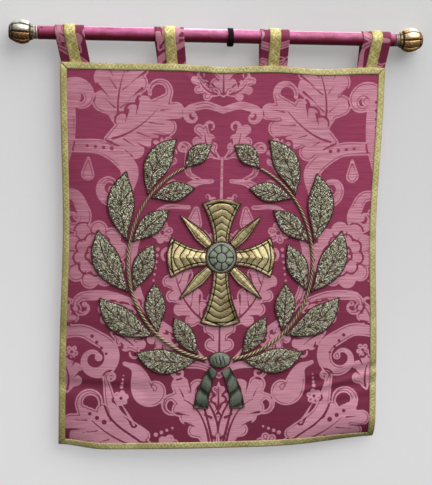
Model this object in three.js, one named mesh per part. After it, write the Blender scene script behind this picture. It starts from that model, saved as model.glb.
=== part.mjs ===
// Church banner on its rod. A damask panel edged with gold braid hangs by four braided tabs from a
// cloth-covered rod with a carved gilt finial at each end. A padded laurel wreath round a rayed cross,
// tied with a ribbon, is sewn on the panel.
// Millimetres, +Z up, +X to the right seen from the front, and the front faces -Y.
// The origin is on the rod's axis, in the middle of the black band that it hangs by.
import * as THREE from "three";

const { clamp, lerp, smoothstep } = THREE.MathUtils;

// Driving sizes
const seamGap = 0.35;
const panel = { left: -301, right: 283, top: -50.5, length: 697, thick: 2, front: -3.2 };
const waist = { left: 6.5, right: 9, down: 290, reach: 170 };
const hem = { shortLeft: 8, shortRight: 9, curlLength: 46, curlLeft: 0.38, curlMiddle: 0.07, curlRight: 0.85 };
const rod = { radius: 12.5, from: -340, to: 300, sides: 32 };
const collar = { radius: 12.2, length: 7 };
const finial = { radius: 23.4, length: 42, neck: 14.5, button: 7, lobes: 8, groove: 0.11, sides: 48 };
const band = { width: 9.6, thick: 1.9, inner: 14.6, drop: 1.7 };
const tab = { width: 51, thick: 1.6, lap: 18, join: 2.5, arcSteps: 14 };
const braid = { edgeWidth: 12, tabWidth: 20, thick: 1.2, gap: 0.45 };
const emblem = { across: 291, down: 350, gap: 0.45 };
const wreath = { halfWidth: 172, halfHeight: 182, stemWidth: 7, stemCrown: 3.6, start: 0.14, end: 2.72 };

// Tabs, from left to right: centre on the panel's top edge, centre on the rod, and the braid's shift.
const tabs = [
  { foot: -275.6, head: -286.5, shift: 2 },
  { foot: -102.8, head: -109, shift: -0.5 },
  { foot: 77.7, head: 78.6, shift: 0.8 },
  { foot: 257.3, head: 263.7, shift: 0.5 },
];

// Top edge between one tab and the next: how far it sags, and how far it stands forward.
const spans = [
  { sag: 0.6, forward: 1.2 },
  { sag: 3.4, forward: 3 },
  { sag: 4.2, forward: 3.6 },
];

// Soft creases of the hanging cloth, each a line on the flat cloth from its left end to its right end,
// in mm from the top left corner. A positive depth is a trough and a negative one is a ridge.
const creases = [
  { x1: -20, s1: 573, x2: 150, s2: 588, width: 13, depth: 3.4 },
  { x1: -20, s1: 477, x2: 52, s2: 485, width: 20, depth: 2.6 },
  { x1: 452, s1: 580, x2: 610, s2: 540, width: 9, depth: 2.2 },
  { x1: 448, s1: 600, x2: 610, s2: 572, width: 9, depth: 2.4 },
  { x1: 235, s1: 12, x2: 270, s2: 48, width: 9, depth: 1.6 },
];

// Leaf pairs of one branch from the tie upwards: place along the branch, then each leaf's length,
// width and spread from the stem in radians.
const leafPairs = [
  { at: 0.25, outerLong: 112, outerWide: 44, outerSpread: 0.5, innerLong: 80, innerWide: 34, innerSpread: 0.66 },
  { at: 0.76, outerLong: 122, outerWide: 47, outerSpread: 0.55, innerLong: 86, innerWide: 37, innerSpread: 0.62 },
  { at: 1.27, outerLong: 126, outerWide: 48, outerSpread: 0.56, innerLong: 88, innerWide: 38, innerSpread: 0.6 },
  { at: 1.77, outerLong: 124, outerWide: 48, outerSpread: 0.56, innerLong: 86, innerWide: 37, innerSpread: 0.6 },
  { at: 2.27, outerLong: 112, outerWide: 45, outerSpread: 0.55, innerLong: 78, innerWide: 34, innerSpread: 0.6 },
];
const leafForm = { crown: 5.6, edge: 1.4, tip: 1.6, outerTurn: 0.72, innerTurn: 0.16, clear: 5.4 };
const tipLeaf = { long: 62, wide: 32, turn: 0.42 };

// Arms of the cross: direction in quarter turns from the right, and length from the boss's centre.
const crossArms = [
  { name: "right", quarter: 0, reach: 92 },
  { name: "top", quarter: 1, reach: 98 },
  { name: "left", quarter: 2, reach: 92 },
  { name: "bottom", quarter: 3, reach: 118 },
];
const crossForm = { up: 6, start: 29.5, neckHalf: 14, endHalf: 36, bulge: 7, crown: 6.5, edge: 1.8 };
const rayForm = { start: 31, reach: 106, half: 15, crown: 4.6, edge: 1.4, tip: 1.2 };
const bossForm = { radius: 28, crown: 9, edge: 2.2 };
const knotForm = { halfWidth: 19, halfHeight: 14, crown: 7, edge: 2 };
const tailForm = { long: 76, wide: 26, heading: 1.02, turn: -0.5, crown: 3, edge: 1.6, start: 21 };

const materials = {
  damask: { color: 0x9a4a68, roughness: 0.6, metalness: 0 },
  braid: { color: 0xb0a57c, roughness: 0.45, metalness: 0.4 },
  satin: { color: 0xa8507c, roughness: 0.4, metalness: 0 },
  gilt: { color: 0x8f7550, roughness: 0.4, metalness: 0.7 },
  collar: { color: 0xb9b4a8, roughness: 0.4, metalness: 0.5 },
  black: { color: 0x1a1416, roughness: 0.7, metalness: 0 },
  thread: { color: 0x7f7a64, roughness: 0.45, metalness: 0.5 },
  gold: { color: 0x9a8a60, roughness: 0.4, metalness: 0.6 },
  pewter: { color: 0x4d584e, roughness: 0.45, metalness: 0.5 },
};

const banner = new THREE.Group();

// Adds one piece of the banner as a mesh with a material of its own.
function addPiece(name, geometry, kind) {
  const mesh = new THREE.Mesh(geometry, new THREE.MeshStandardMaterial(materials[kind]));
  mesh.name = name;
  banner.add(mesh);
  return mesh;
}

// Evenly spaced numbers from one end to the other.
function steps(count, from = 0, to = 1) {
  return Array.from({ length: count + 1 }, (unused, i) => lerp(from, to, i / count));
}

// Hanging shape of the panel

const panelWidth = panel.right - panel.left;
const tabAcross = tabs.map((row) => (row.foot - panel.left) / panelWidth);

// Length of the cut cloth at one place across it, shorter at both lower corners.
function cutLength(across) {
  const leftShort = hem.shortLeft * (1 - smoothstep(across, 0, 0.14));
  const rightShort = hem.shortRight * smoothstep(across, 0.62, 1);
  return panel.length - leftShort - rightShort;
}

// Depth of all creases at a flat point: each is a bell of the distance from its line.
function creaseDepth(flatX, down) {
  let depth = 0;
  for (const row of creases) {
    const runX = row.x2 - row.x1;
    const runS = row.s2 - row.s1;
    const along = ((flatX - row.x1) * runX + (down - row.s1) * runS) / (runX * runX + runS * runS);
    const near = clamp(along, 0, 1);
    const apart = Math.hypot(flatX - row.x1 - near * runX, down - row.s1 - near * runS);
    depth += row.depth * Math.exp(-((apart / row.width) ** 2));
  }
  return depth;
}

// Point of the panel's front face. Across runs from 0 at the left edge to 1 at the right, down is in mm
// from the top edge. The top edge sags between tabs, the sides draw in at the waist, and the lower hem
// curls back on an arc.
function frontPoint(across, down) {
  const squeeze = Math.exp(-(((down - waist.down) / waist.reach) ** 2));
  const x = lerp(panel.left + waist.left * squeeze, panel.right - waist.right * squeeze, across);
  let y = panel.front + creaseDepth(across * panelWidth, down);
  let z = panel.top;
  spans.forEach((row, i) => {
    const along = clamp((across - tabAcross[i]) / (tabAcross[i + 1] - tabAcross[i]), 0, 1);
    const bell = (1 - Math.cos(2 * Math.PI * along)) / 2;
    y -= row.forward * bell * Math.exp(-down / 120);
    z -= row.sag * bell * Math.exp(-down / 180);
  });
  y -= 3 * Math.sin(Math.PI * clamp(down / panel.length, 0, 1)) * Math.sin(Math.PI * clamp(across, 0, 1));
  y += 2.6 * smoothstep(down, 570, panel.length) * Math.sin(2 * Math.PI * (1.7 * across + 0.12));
  const leftCurl = hem.curlLeft * (1 - smoothstep(across, 0, 0.17));
  const rightCurl = hem.curlRight * smoothstep(across, 0.58, 1.02) ** 1.4;
  const curl = hem.curlMiddle + leftCurl + rightCurl;
  const straight = cutLength(across) - hem.curlLength;
  const turned = (curl * Math.max(0, down - straight)) / hem.curlLength;
  const radius = hem.curlLength / curl;
  y += radius * (1 - Math.cos(turned));
  z -= Math.min(down, straight) + radius * Math.sin(turned);
  return new THREE.Vector3(x, y, z);
}

// Point that stands off the panel's front face by a lift along the face's normal.
function drape(across, down, lift) {
  const step = 0.5;
  const sideways = frontPoint(across + step / panelWidth, down).sub(frontPoint(across - step / panelWidth, down));
  const downwards = frontPoint(across, down + step).sub(frontPoint(across, down - step));
  const normal = downwards.cross(sideways).normalize();
  return frontPoint(across, down).addScaledVector(normal, lift);
}

// Closed solids

// Solid between two sheets that share one grid, closed by a rim round all four edges.
function sheetSolid(columns, rows, frontAt, backAt) {
  const wide = columns.length;
  const points = [];
  for (const sheet of [frontAt, backAt]) {
    for (const v of rows) {
      for (const u of columns) {
        points.push(sheet(u, v));
      }
    }
  }
  const half = wide * rows.length;
  const faces = [];
  const quad = (a, b, c, d) => faces.push(a, b, c, b, d, c);
  for (let j = 0; j < rows.length - 1; j += 1) {
    for (let i = 0; i < wide - 1; i += 1) {
      const a = j * wide + i;
      quad(a, a + wide, a + 1, a + wide + 1);
      quad(half + a, half + a + 1, half + a + wide, half + a + wide + 1);
    }
  }
  for (let i = 0; i < wide - 1; i += 1) {
    const low = half - wide + i;
    quad(i, i + 1, half + i, half + i + 1);
    quad(low, half + low, low + 1, half + low + 1);
  }
  for (let j = 0; j < rows.length - 1; j += 1) {
    const left = j * wide;
    const right = left + wide - 1;
    quad(left, half + left, left + wide, half + left + wide);
    quad(right, right + wide, half + right, half + right + wide);
  }
  const geometry = new THREE.BufferGeometry().setFromPoints(points);
  let volume = 0;
  for (let i = 0; i < faces.length; i += 3) {
    const [a, b, c] = [points[faces[i]], points[faces[i + 1]], points[faces[i + 2]]];
    volume += a.dot(new THREE.Vector3().crossVectors(b, c));
  }
  geometry.setIndex(volume > 0 ? faces : faces.reverse());
  geometry.computeVertexNormals();
  return geometry;
}

// Ring about the X axis, from a closed section of inner and outer radius.
function ringSolid(inner, outer, from, to) {
  const ease = Math.min(0.5, (outer - inner) / 3);
  const section = [
    [inner, from], [outer - ease, from], [outer, from + ease], [outer, to - ease], [outer - ease, to], [inner, to],
    [inner, from],
  ];
  const profile = section.map(([r, along]) => new THREE.Vector2(r, along));
  return new THREE.LatheGeometry(profile, rod.sides).rotateZ(-Math.PI / 2);
}

// Padded piece on the panel: a place on the cloth and a crown height for each pair of parameters.
function padSolid(columns, rows, placeAt, crownAt) {
  const at = (u, v, lift) => {
    const [right, up] = placeAt(u, v);
    return drape((emblem.across + right) / panelWidth, emblem.down - up, lift);
  };
  const front = (u, v) => at(u, v, emblem.gap + crownAt(u, v));
  const back = (u, v) => at(u, v, emblem.gap);
  return sheetSolid(columns, rows, front, back);
}

// Panel and its border

const edgeCell = braid.edgeWidth + 3;
const panelColumns = steps(25).map((t) => t - (0.36 * Math.sin(2 * Math.PI * t)) / (2 * Math.PI));
const panelRows = [
  0, edgeCell, 36, 66, 104, 146, 190, 236, 284, 332, 380, 424, 462, 476, 490, 512, 532, 546, 558, 567, 576,
  585, 594, 604, 616, 630, 642, 653, 664, 675, panel.length - edgeCell, panel.length,
].map((down) => down / panel.length);

addPiece("panel", sheetSolid(
  panelColumns,
  panelRows,
  (u, v) => drape(u, v * cutLength(u), 0),
  (u, v) => drape(u, v * cutLength(u), -panel.thick),
), "damask");

// Place on the panel for a border strip, mitred at both ends. Along follows the edge and inward crosses
// the strip, from 0 on the edge to 1 at its inner side.
function borderPlace(edge, along, inward) {
  const inset = inward * braid.edgeWidth;
  const mitre = inset + seamGap;
  if (edge === "top" || edge === "bottom") {
    const across = clamp(along, mitre / panelWidth, 1 - mitre / panelWidth);
    return [across, edge === "top" ? inset : cutLength(across) - inset];
  }
  const across = edge === "left" ? inset / panelWidth : 1 - inset / panelWidth;
  return [across, clamp(along * cutLength(across), mitre, cutLength(across) - mitre)];
}

// A strip's grid runs as the panel's does, so that both bend along the same lines.
for (const edge of ["top", "bottom", "left", "right"]) {
  const level = edge === "top" || edge === "bottom";
  const inward = edge === "top" || edge === "left" ? [0, 1] : [1, 0];
  const sheet = (lift) => (u, v) => drape(...borderPlace(edge, level ? u : v, level ? v : u), lift);
  const columns = level ? panelColumns : inward;
  const rows = level ? inward : panelRows;
  addPiece(`braid_${edge}`, sheetSolid(columns, rows, sheet(braid.gap + braid.thick), sheet(braid.gap)), "braid");
}

// Tabs and their braid

// Section of a tab in the YZ plane, as places on its middle line with outward normals: up behind the
// panel, off the panel to the rod, over the rod on an arc, and down again at the back.
function tabSection() {
  const arcStep = Math.PI / tab.arcSteps;
  const radius = (rod.radius + seamGap) / Math.cos(arcStep / 2) + tab.thick / 2;
  const frontY = panel.front + panel.thick + 2 * seamGap + braid.thick + tab.thick / 2;
  const backY = frontY + tab.thick + seamGap;
  const joinZ = panel.top + tab.join;
  const footZ = panel.top - tab.lap;
  const tangent = (y, side) => Math.atan2(joinZ, y) + side * Math.acos(radius / Math.hypot(joinZ, y));
  const frontTurn = tangent(frontY, -1) + 2 * Math.PI;
  const backTurn = tangent(backY, 1);
  const arc = steps(tab.arcSteps, frontTurn, backTurn).map((turn) => {
    const normal = new THREE.Vector2(Math.cos(turn), Math.sin(turn));
    return { place: normal.clone().multiplyScalar(radius), normal };
  });
  const corner = (first, second) => {
    const sum = first.clone().add(second);
    return sum.multiplyScalar(2 / sum.lengthSq());
  };
  const ahead = new THREE.Vector2(-1, 0);
  const behind = new THREE.Vector2(1, 0);
  return [
    { place: new THREE.Vector2(frontY, footZ), normal: ahead },
    { place: new THREE.Vector2(frontY, joinZ), normal: corner(ahead, arc[0].normal) },
    ...arc,
    { place: new THREE.Vector2(backY, joinZ), normal: corner(behind, arc[arc.length - 1].normal) },
    { place: new THREE.Vector2(backY, footZ), normal: behind },
  ];
}

const section = tabSection();
const sectionRows = section.map((unused, i) => i);

// Strip that follows the tab's section between two distances from its middle line.
function tabStrip(row, width, shift, inner, outer) {
  const sheet = (offset) => (u, v) => {
    const { place, normal } = section[v];
    const rise = clamp(1 - place.y / (panel.top + tab.join), 0, 1);
    const x = lerp(row.foot, row.head, rise) + shift + (u - 0.5) * width;
    return new THREE.Vector3(x, place.x + normal.x * offset, place.y + normal.y * offset);
  };
  return sheetSolid([0, 1], sectionRows, sheet(outer), sheet(inner));
}

tabs.forEach((row, i) => {
  const face = tab.thick / 2;
  addPiece(`tab_${i + 1}`, tabStrip(row, tab.width, 0, -face, face), "damask");
  const braidInner = face + seamGap;
  const strip = tabStrip(row, braid.tabWidth, row.shift, braidInner, braidInner + braid.thick);
  addPiece(`tab_braid_${i + 1}`, strip, "braid");
});

// Rod, collars, finials and band

const rodLength = rod.to - rod.from;
const rodSolid = new THREE.CylinderGeometry(rod.radius, rod.radius, rodLength, rod.sides).rotateZ(-Math.PI / 2);
addPiece("rod", rodSolid, "satin").position.x = (rod.from + rod.to) / 2;

const bandSolid = ringSolid(band.inner, band.inner + band.thick, -band.width / 2, band.width / 2);
addPiece("band", bandSolid, "black").position.z = -band.drop;

// Carved ball turned about the X axis, its lobes parted by grooves that run from neck to button.
function finialSolid() {
  const { radius, length, neck, button, lobes, groove, sides } = finial;
  const middle = length * 0.5;
  const profile = [new THREE.Vector2(0, 0), new THREE.Vector2(neck, 0)];
  for (const turn of steps(6, -0.98, 1.22)) {
    profile.push(new THREE.Vector2(radius * Math.cos(turn), middle + (radius - 1.2) * 0.98 * Math.sin(turn)));
  }
  profile.push(new THREE.Vector2(button, length - 0.6), new THREE.Vector2(button - 1.6, length));
  profile.push(new THREE.Vector2(0, length));
  const geometry = new THREE.LatheGeometry(profile, sides);
  const place = geometry.attributes.position;
  for (let i = 0; i < place.count; i += 1) {
    const turn = Math.atan2(place.getZ(i), place.getX(i));
    const out = Math.hypot(place.getX(i), place.getZ(i));
    const swell = smoothstep(out, neck, radius);
    const keep = 1 - groove * swell * (1 - Math.abs(Math.sin((lobes * turn) / 2)) ** 0.7);
    place.setX(i, place.getX(i) * keep);
    place.setZ(i, place.getZ(i) * keep);
  }
  geometry.computeVertexNormals();
  return geometry;
}

for (const side of ["left", "right"]) {
  const outwards = side === "right" ? 1 : -1;
  const rodEnd = side === "right" ? rod.to : rod.from;
  const collarSolid = new THREE.CylinderGeometry(collar.radius, collar.radius, collar.length, rod.sides);
  const collarMesh = addPiece(`collar_${side}`, collarSolid, "collar");
  collarMesh.rotation.z = -outwards * Math.PI / 2;
  collarMesh.position.x = rodEnd + outwards * (seamGap + collar.length / 2);
  const finialMesh = addPiece(`finial_${side}`, finialSolid(), "gilt");
  finialMesh.rotation.z = -outwards * Math.PI / 2;
  finialMesh.position.x = rodEnd + outwards * (collar.length + 2 * seamGap);
}

// Sewn emblem, in mm right of and above its centre

const acrossPad = [-1, 0, 1];

// Leaf along an arc that turns steadily from its first heading. Its width swells and closes to a blunt tip.
function addLeaf(name, base, heading, side, long, wide, turn) {
  const placeAt = (u, v) => {
    const radius = long / turn;
    const facing = heading + turn * u;
    const along = [
      base[0] + radius * (Math.sin(facing) - Math.sin(heading)),
      base[1] - radius * (Math.cos(facing) - Math.cos(heading)),
    ];
    const swell = Math.sin(Math.PI * clamp(u, 0, 1) ** 1.12) ** 1.02;
    const half = Math.max(leafForm.tip, (wide / 2) * swell) * v;
    return [side * (along[0] - half * Math.sin(facing)), along[1] + half * Math.cos(facing)];
  };
  const crownAt = (u, v) => leafForm.edge + (leafForm.crown - leafForm.edge) * (1 - v * v) * Math.sin(Math.PI * u);
  addPiece(name, padSolid(acrossPad, steps(8), (u, v) => placeAt(v, u), (u, v) => crownAt(v, u)), "thread");
}

// Point on the right-hand branch and the way it grows there, from the tie at 0 to the top at pi.
function branchAt(turn) {
  const { halfWidth, halfHeight } = wreath;
  const place = [halfWidth * Math.sin(turn), -halfHeight * Math.cos(turn)];
  const heading = Math.atan2(halfHeight * Math.sin(turn), halfWidth * Math.cos(turn));
  return { place, heading };
}

for (const [sideName, side] of [["right", 1], ["left", -1]]) {
  const stemPlace = (u, v) => {
    const { place, heading } = branchAt(lerp(wreath.start, wreath.end, u));
    const half = (wreath.stemWidth / 2) * v * (1 - 0.35 * u);
    return [side * (place[0] + half * Math.sin(heading)), place[1] - half * Math.cos(heading)];
  };
  const stemCrown = (u, v) => 1.2 + (wreath.stemCrown - 1.2) * (1 - v * v);
  const stem = padSolid(acrossPad, steps(20), (u, v) => stemPlace(v, u), (u, v) => stemCrown(v, u));
  addPiece(`stem_${sideName}`, stem, "thread");
  leafPairs.forEach((row, i) => {
    const { place, heading } = branchAt(row.at);
    const beside = (away) => [
      place[0] + away * Math.sin(heading),
      place[1] - away * Math.cos(heading),
    ];
    const outerName = `leaf_${sideName}_outer_${i + 1}`;
    const innerName = `leaf_${sideName}_inner_${i + 1}`;
    const { clear, outerTurn, innerTurn } = leafForm;
    addLeaf(outerName, beside(clear), heading - row.outerSpread, side, row.outerLong, row.outerWide, outerTurn);
    addLeaf(innerName, beside(-clear), heading + row.innerSpread, side, row.innerLong, row.innerWide, innerTurn);
  });
  const end = branchAt(wreath.end);
  const tipBase = [end.place[0] + 3 * Math.cos(end.heading), end.place[1] + 3 * Math.sin(end.heading)];
  addLeaf(`leaf_${sideName}_tip`, tipBase, end.heading - 0.5, side, tipLeaf.long, tipLeaf.wide, tipLeaf.turn);
  const tailPlace = (u, v) => {
    const facing = -tailForm.heading + tailForm.turn * u;
    const radius = tailForm.long / tailForm.turn;
    const right = radius * (Math.sin(facing) + Math.sin(tailForm.heading));
    const up = -radius * (Math.cos(facing) - Math.cos(tailForm.heading));
    const half = (tailForm.wide / 2) * (0.62 + 0.38 * u) * v;
    const startRight = tailForm.start * Math.cos(tailForm.heading);
    const startUp = -wreath.halfHeight - tailForm.start * Math.sin(tailForm.heading);
    return [side * (startRight + right - half * Math.sin(facing)), startUp + up + half * Math.cos(facing)];
  };
  const tailCrown = (u, v) => tailForm.edge + (tailForm.crown - tailForm.edge) * (1 - v * v);
  const tail = padSolid(acrossPad, steps(6), (u, v) => tailPlace(v, u), (u, v) => tailCrown(v, u));
  addPiece(`ribbon_${sideName}`, tail, "pewter");
}

// Domed round piece from a square grid drawn out to an ellipse.
function addDome(name, centreUp, halfWidth, halfHeight, form, kind) {
  const placeAt = (u, v) => [
    halfWidth * u * Math.sqrt(1 - (v * v) / 2),
    centreUp + halfHeight * v * Math.sqrt(1 - (u * u) / 2),
  ];
  const crownAt = (u, v) => {
    const out = clamp(u * u + v * v - u * u * v * v, 0, 1);
    return form.edge + (form.crown - form.edge) * Math.sqrt(1 - out);
  };
  addPiece(name, padSolid(steps(6, -1, 1), steps(6, -1, 1), placeAt, crownAt), kind);
}

addDome("boss", crossForm.up, bossForm.radius, bossForm.radius, bossForm, "pewter");
addDome("knot", -wreath.halfHeight, knotForm.halfWidth, knotForm.halfHeight, knotForm, "pewter");

// Place along and beside a line from the cross's centre at a given turn.
function fromCentre(turn, along, beside) {
  return [
    along * Math.cos(turn) - beside * Math.sin(turn),
    crossForm.up + along * Math.sin(turn) + beside * Math.cos(turn),
  ];
}

for (const arm of crossArms) {
  const { start, neckHalf, endHalf, bulge, crown, edge } = crossForm;
  const turn = (arm.quarter * Math.PI) / 2;
  const placeAt = (u, v) => {
    const half = lerp(neckHalf, endHalf, u ** 1.9);
    const along = lerp(start, arm.reach, u) + bulge * u * u * (1 - v * v);
    return fromCentre(turn, along + 3 * (1 - u) * v * v * -0.6, half * v);
  };
  const crownAt = (u, v) => edge + (crown - edge) * (1 - Math.abs(v)) * (0.75 + 0.25 * Math.sin(Math.PI * u));
  addPiece(`cross_${arm.name}`, padSolid(steps(4, -1, 1), steps(6), (u, v) => placeAt(v, u),
    (u, v) => crownAt(v, u)), "gold");
}

steps(3).forEach((unused, i) => {
  const { start, reach, half, crown, edge, tip } = rayForm;
  const turn = Math.PI / 4 + (i * Math.PI) / 2;
  const placeAt = (u, v) => {
    const swell = Math.max(tip, half * Math.min(1, (u + 0.35) / 0.7) * (1 - u) ** 0.8);
    return fromCentre(turn, lerp(start, reach, u), swell * v);
  };
  const crownAt = (u, v) => edge + (crown - edge) * (1 - Math.abs(v)) * (1 - 0.6 * u);
  addPiece(`ray_${i + 1}`, padSolid(acrossPad, steps(6), (u, v) => placeAt(v, u), (u, v) => crownAt(v, u)), "gold");
});

export default banner;
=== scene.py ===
import math

import bpy
import numpy as np
from mathutils import Matrix, Vector


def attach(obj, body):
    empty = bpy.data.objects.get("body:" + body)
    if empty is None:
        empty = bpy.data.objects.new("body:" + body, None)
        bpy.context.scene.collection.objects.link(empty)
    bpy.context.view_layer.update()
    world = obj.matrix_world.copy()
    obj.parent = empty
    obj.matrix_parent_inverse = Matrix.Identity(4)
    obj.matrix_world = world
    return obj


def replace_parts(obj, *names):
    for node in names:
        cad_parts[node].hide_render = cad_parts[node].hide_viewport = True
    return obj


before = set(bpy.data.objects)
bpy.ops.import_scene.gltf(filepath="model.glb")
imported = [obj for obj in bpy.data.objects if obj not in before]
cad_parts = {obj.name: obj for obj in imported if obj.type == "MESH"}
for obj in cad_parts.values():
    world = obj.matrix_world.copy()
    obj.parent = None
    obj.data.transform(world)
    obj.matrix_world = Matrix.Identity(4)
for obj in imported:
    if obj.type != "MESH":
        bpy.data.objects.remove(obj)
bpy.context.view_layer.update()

dice = np.random.default_rng(23)
print("stage 1: frame loaded")

# camera
photoCamera = {"azimuth": -7.09, "elevation": 6.28, "roll": 0.92, "distance": 2.42847,
               "target": (-0.01964, 0.0, -0.36867), "focalPixels": 1345.0, "longSide": 485, "sensor": 36.0}


# the camera stands off its target by azimuth, elevation and distance, and turns by roll about its view
def makeCamera(spec):
    azimuth = math.radians(spec["azimuth"])
    elevation = math.radians(spec["elevation"])
    roll = math.radians(spec["roll"])
    back = Vector((math.cos(elevation) * math.sin(azimuth), -math.cos(elevation) * math.cos(azimuth),
                   math.sin(elevation)))
    level = (-back).cross(Vector((0, 0, 1))).normalized()
    rise = level.cross(-back)
    right = level * math.cos(roll) + rise * math.sin(roll)
    up = rise * math.cos(roll) - level * math.sin(roll)
    place = Vector(spec["target"]) + back * spec["distance"]
    data = bpy.data.cameras.new("photoCamera")
    data.sensor_width = spec["sensor"]
    data.lens = spec["focalPixels"] * spec["sensor"] / spec["longSide"]
    data.clip_start = 0.05
    data.clip_end = 60
    camera = bpy.data.objects.new("photoCamera", data)
    camera.matrix_world = Matrix(((right.x, up.x, back.x, place.x), (right.y, up.y, back.y, place.y),
                                  (right.z, up.z, back.z, place.z), (0, 0, 0, 1)))
    bpy.context.collection.objects.link(camera)
    bpy.context.scene.camera = camera


makeCamera(photoCamera)
print("stage 2: camera")


# start plus the share t of the way to end
def lerp(start, end, t):
    return start + (end - start) * t


# 0 at low and 1 at high, and between them three times the share squared less twice its cube
def ease(low, high, x):
    t = np.clip((x - low) / (high - low), 0, 1)
    return t * t * (3 - 2 * t)


# vectors over their own lengths
def unit(vectors):
    return vectors / np.maximum(np.linalg.norm(vectors, axis=-1, keepdims=True), 1e-9)


# length of a bent line up to each of its points
def runLength(points):
    return np.concatenate([[0], np.cumsum(np.linalg.norm(np.diff(points, axis=0), axis=1))])


# points of a bent line at even steps of its length
def evenly(points, step):
    points = np.asarray(points, float)
    run = runLength(points)
    count = max(4, int(round(run[-1] / step)))
    marks = np.linspace(0, run[-1], count + 1)
    return np.stack([np.interp(marks, run, points[:, k]) for k in range(points.shape[1])], axis=1)


# smooth curve through rows of points: Catmull-Rom cubics between neighbours
def throughPoints(rows, steps=14):
    rows = np.asarray(rows, float)
    padded = np.vstack([2 * rows[0] - rows[1], rows, 2 * rows[-1] - rows[-2]])
    t = np.linspace(0, 1, steps, endpoint=False)[:, None]
    parts = []
    for k in range(len(rows) - 1):
        a, b, c, d = padded[k:k + 4]
        parts.append(0.5 * (2 * b + (c - a) * t + (2 * a - 5 * b + 4 * c - d) * t**2
                            + (3 * b - a - 3 * c + d) * t**3))
    return np.vstack(parts + [rows[-1:]])


# smooth random field: random values at the corners of cells, mixed by a quintic share over each cell
def smoothNoise(x, y, size, seed, cells=64):
    table = np.random.default_rng(seed).uniform(-1, 1, (cells, cells))
    column = np.floor(x / size).astype(int)
    row = np.floor(y / size).astype(int)
    right, down = (t**3 * (t * (t * 6 - 15) + 10) for t in (x / size - column, y / size - row))
    top, low = (lerp(table[r % cells, column % cells], table[r % cells, (column + 1) % cells], right)
                for r in (row, row + 1))
    return lerp(top, low, down)


# quads of a grid of rows by columns, each taken down the rows first
def gridFaces(rows, columns, wrapRows=False, wrapColumns=False):
    r = np.arange(rows if wrapRows else rows - 1)[:, None]
    c = np.arange(columns if wrapColumns else columns - 1)[None, :]
    below = (r + 1) % rows
    beside = (c + 1) % columns
    return np.stack([r * columns + c, below * columns + c, below * columns + beside,
                     r * columns + beside], axis=-1).reshape(-1, 4)


# a grid's outer points in order: along the top, down the right, back along the foot, up the left
def edgeRing(rows, columns):
    return np.concatenate([np.arange(columns - 1), np.arange(rows - 1) * columns + columns - 1,
                           (rows - 1) * columns + np.arange(columns - 1, 0, -1),
                           np.arange(rows - 1, 0, -1) * columns])


class Parts:
    # gathers grids of points into one mesh, with a uv pair and named values at each point
    def __init__(self):
        self.points = []
        self.uv = []
        self.values = {}
        self.quads = []
        self.caps = []
        self.slots = []
        self.count = 0

    def add(self, points, faces, uv=None, slot=0, caps=(), **values):
        flat = np.asarray(points, float).reshape(-1, 3)
        amount = len(flat)
        self.points.append(flat)
        self.uv.append(np.zeros((amount, 2)) if uv is None else np.asarray(uv, float).reshape(-1, 2))
        for name in {**self.values, **values}:
            held = self.values.setdefault(name, [np.zeros(self.count)])
            value = np.asarray(values.get(name, 0.0), float).reshape(-1)
            held.append(np.broadcast_to(value, amount))
        self.quads.append(np.asarray(faces) + self.count)
        self.slots.append(np.full(len(faces), slot))
        self.caps += [(np.asarray(cap) + self.count, slot) for cap in caps]
        self.count += amount

    # one smooth mesh of all that was added, in metres, with its weave map and its named values
    def make(self, name, materials):
        points = np.vstack(self.points) * 0.001
        quads = np.vstack(self.quads)
        uv = np.vstack(self.uv)
        loops = np.concatenate([quads.reshape(-1)] + [cap for cap, _ in self.caps])
        sizes = np.concatenate([np.full(len(quads), 4)] + [[len(cap)] for cap, _ in self.caps]).astype(int)
        slots = np.concatenate(self.slots + [[slot] for _, slot in self.caps]).astype(int)
        starts = np.concatenate([[0], np.cumsum(sizes)[:-1]])
        mesh = bpy.data.meshes.new(name)
        mesh.vertices.add(len(points))
        mesh.vertices.foreach_set("co", points.reshape(-1))
        mesh.loops.add(len(loops))
        mesh.loops.foreach_set("vertex_index", loops.astype(np.int32))
        mesh.polygons.add(len(sizes))
        mesh.polygons.foreach_set("loop_start", starts.astype(np.int32))
        mesh.polygons.foreach_set("material_index", slots.astype(np.int32))
        mesh.polygons.foreach_set("use_smooth", np.ones(len(sizes), bool))
        mesh.uv_layers.new(name="weave").data.foreach_set("uv", uv[loops].reshape(-1))
        for key, held in self.values.items():
            mesh.attributes.new(key, "FLOAT", "POINT").data.foreach_set("value", np.concatenate(held))
        mesh.update(calc_edges=True)
        mesh.validate()
        for material in materials:
            mesh.materials.append(material)
        piece = bpy.data.objects.new(name, mesh)
        bpy.context.collection.objects.link(piece)
        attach(piece, "root")
        return piece


# a body between a front and a back grid: both, the back turned over, and a rim of quads round the edge
def bodyFaces(rows, columns):
    front = gridFaces(rows, columns)
    back = front[:, ::-1] + rows * columns
    ring = edgeRing(rows, columns)
    after = np.roll(ring, -1)
    rim = np.stack([ring, after, after + rows * columns, ring + rows * columns], axis=1)
    return np.vstack([front, back, rim])


# a front and a back grid closed into a body, its columns reversed if the front would face into it
def addBody(parts, front, back, uv=None, **values):
    rows, columns = front.shape[:2]
    way = np.cross(front[1:, :-1] - front[:-1, :-1], front[:-1, 1:] - front[:-1, :-1])
    turn = -1 if np.sum(way * (front - back)[:-1, :-1]) < 0 else 1
    points = np.stack([front, back])[:, :, ::turn]
    both = {key: np.stack([np.broadcast_to(value, (rows, columns))] * 2)[:, :, ::turn]
            for key, value in values.items()}
    pairs = None if uv is None else np.stack([uv, uv])[:, :, ::turn]
    parts.add(points, bodyFaces(rows, columns), pairs, **both)


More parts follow.
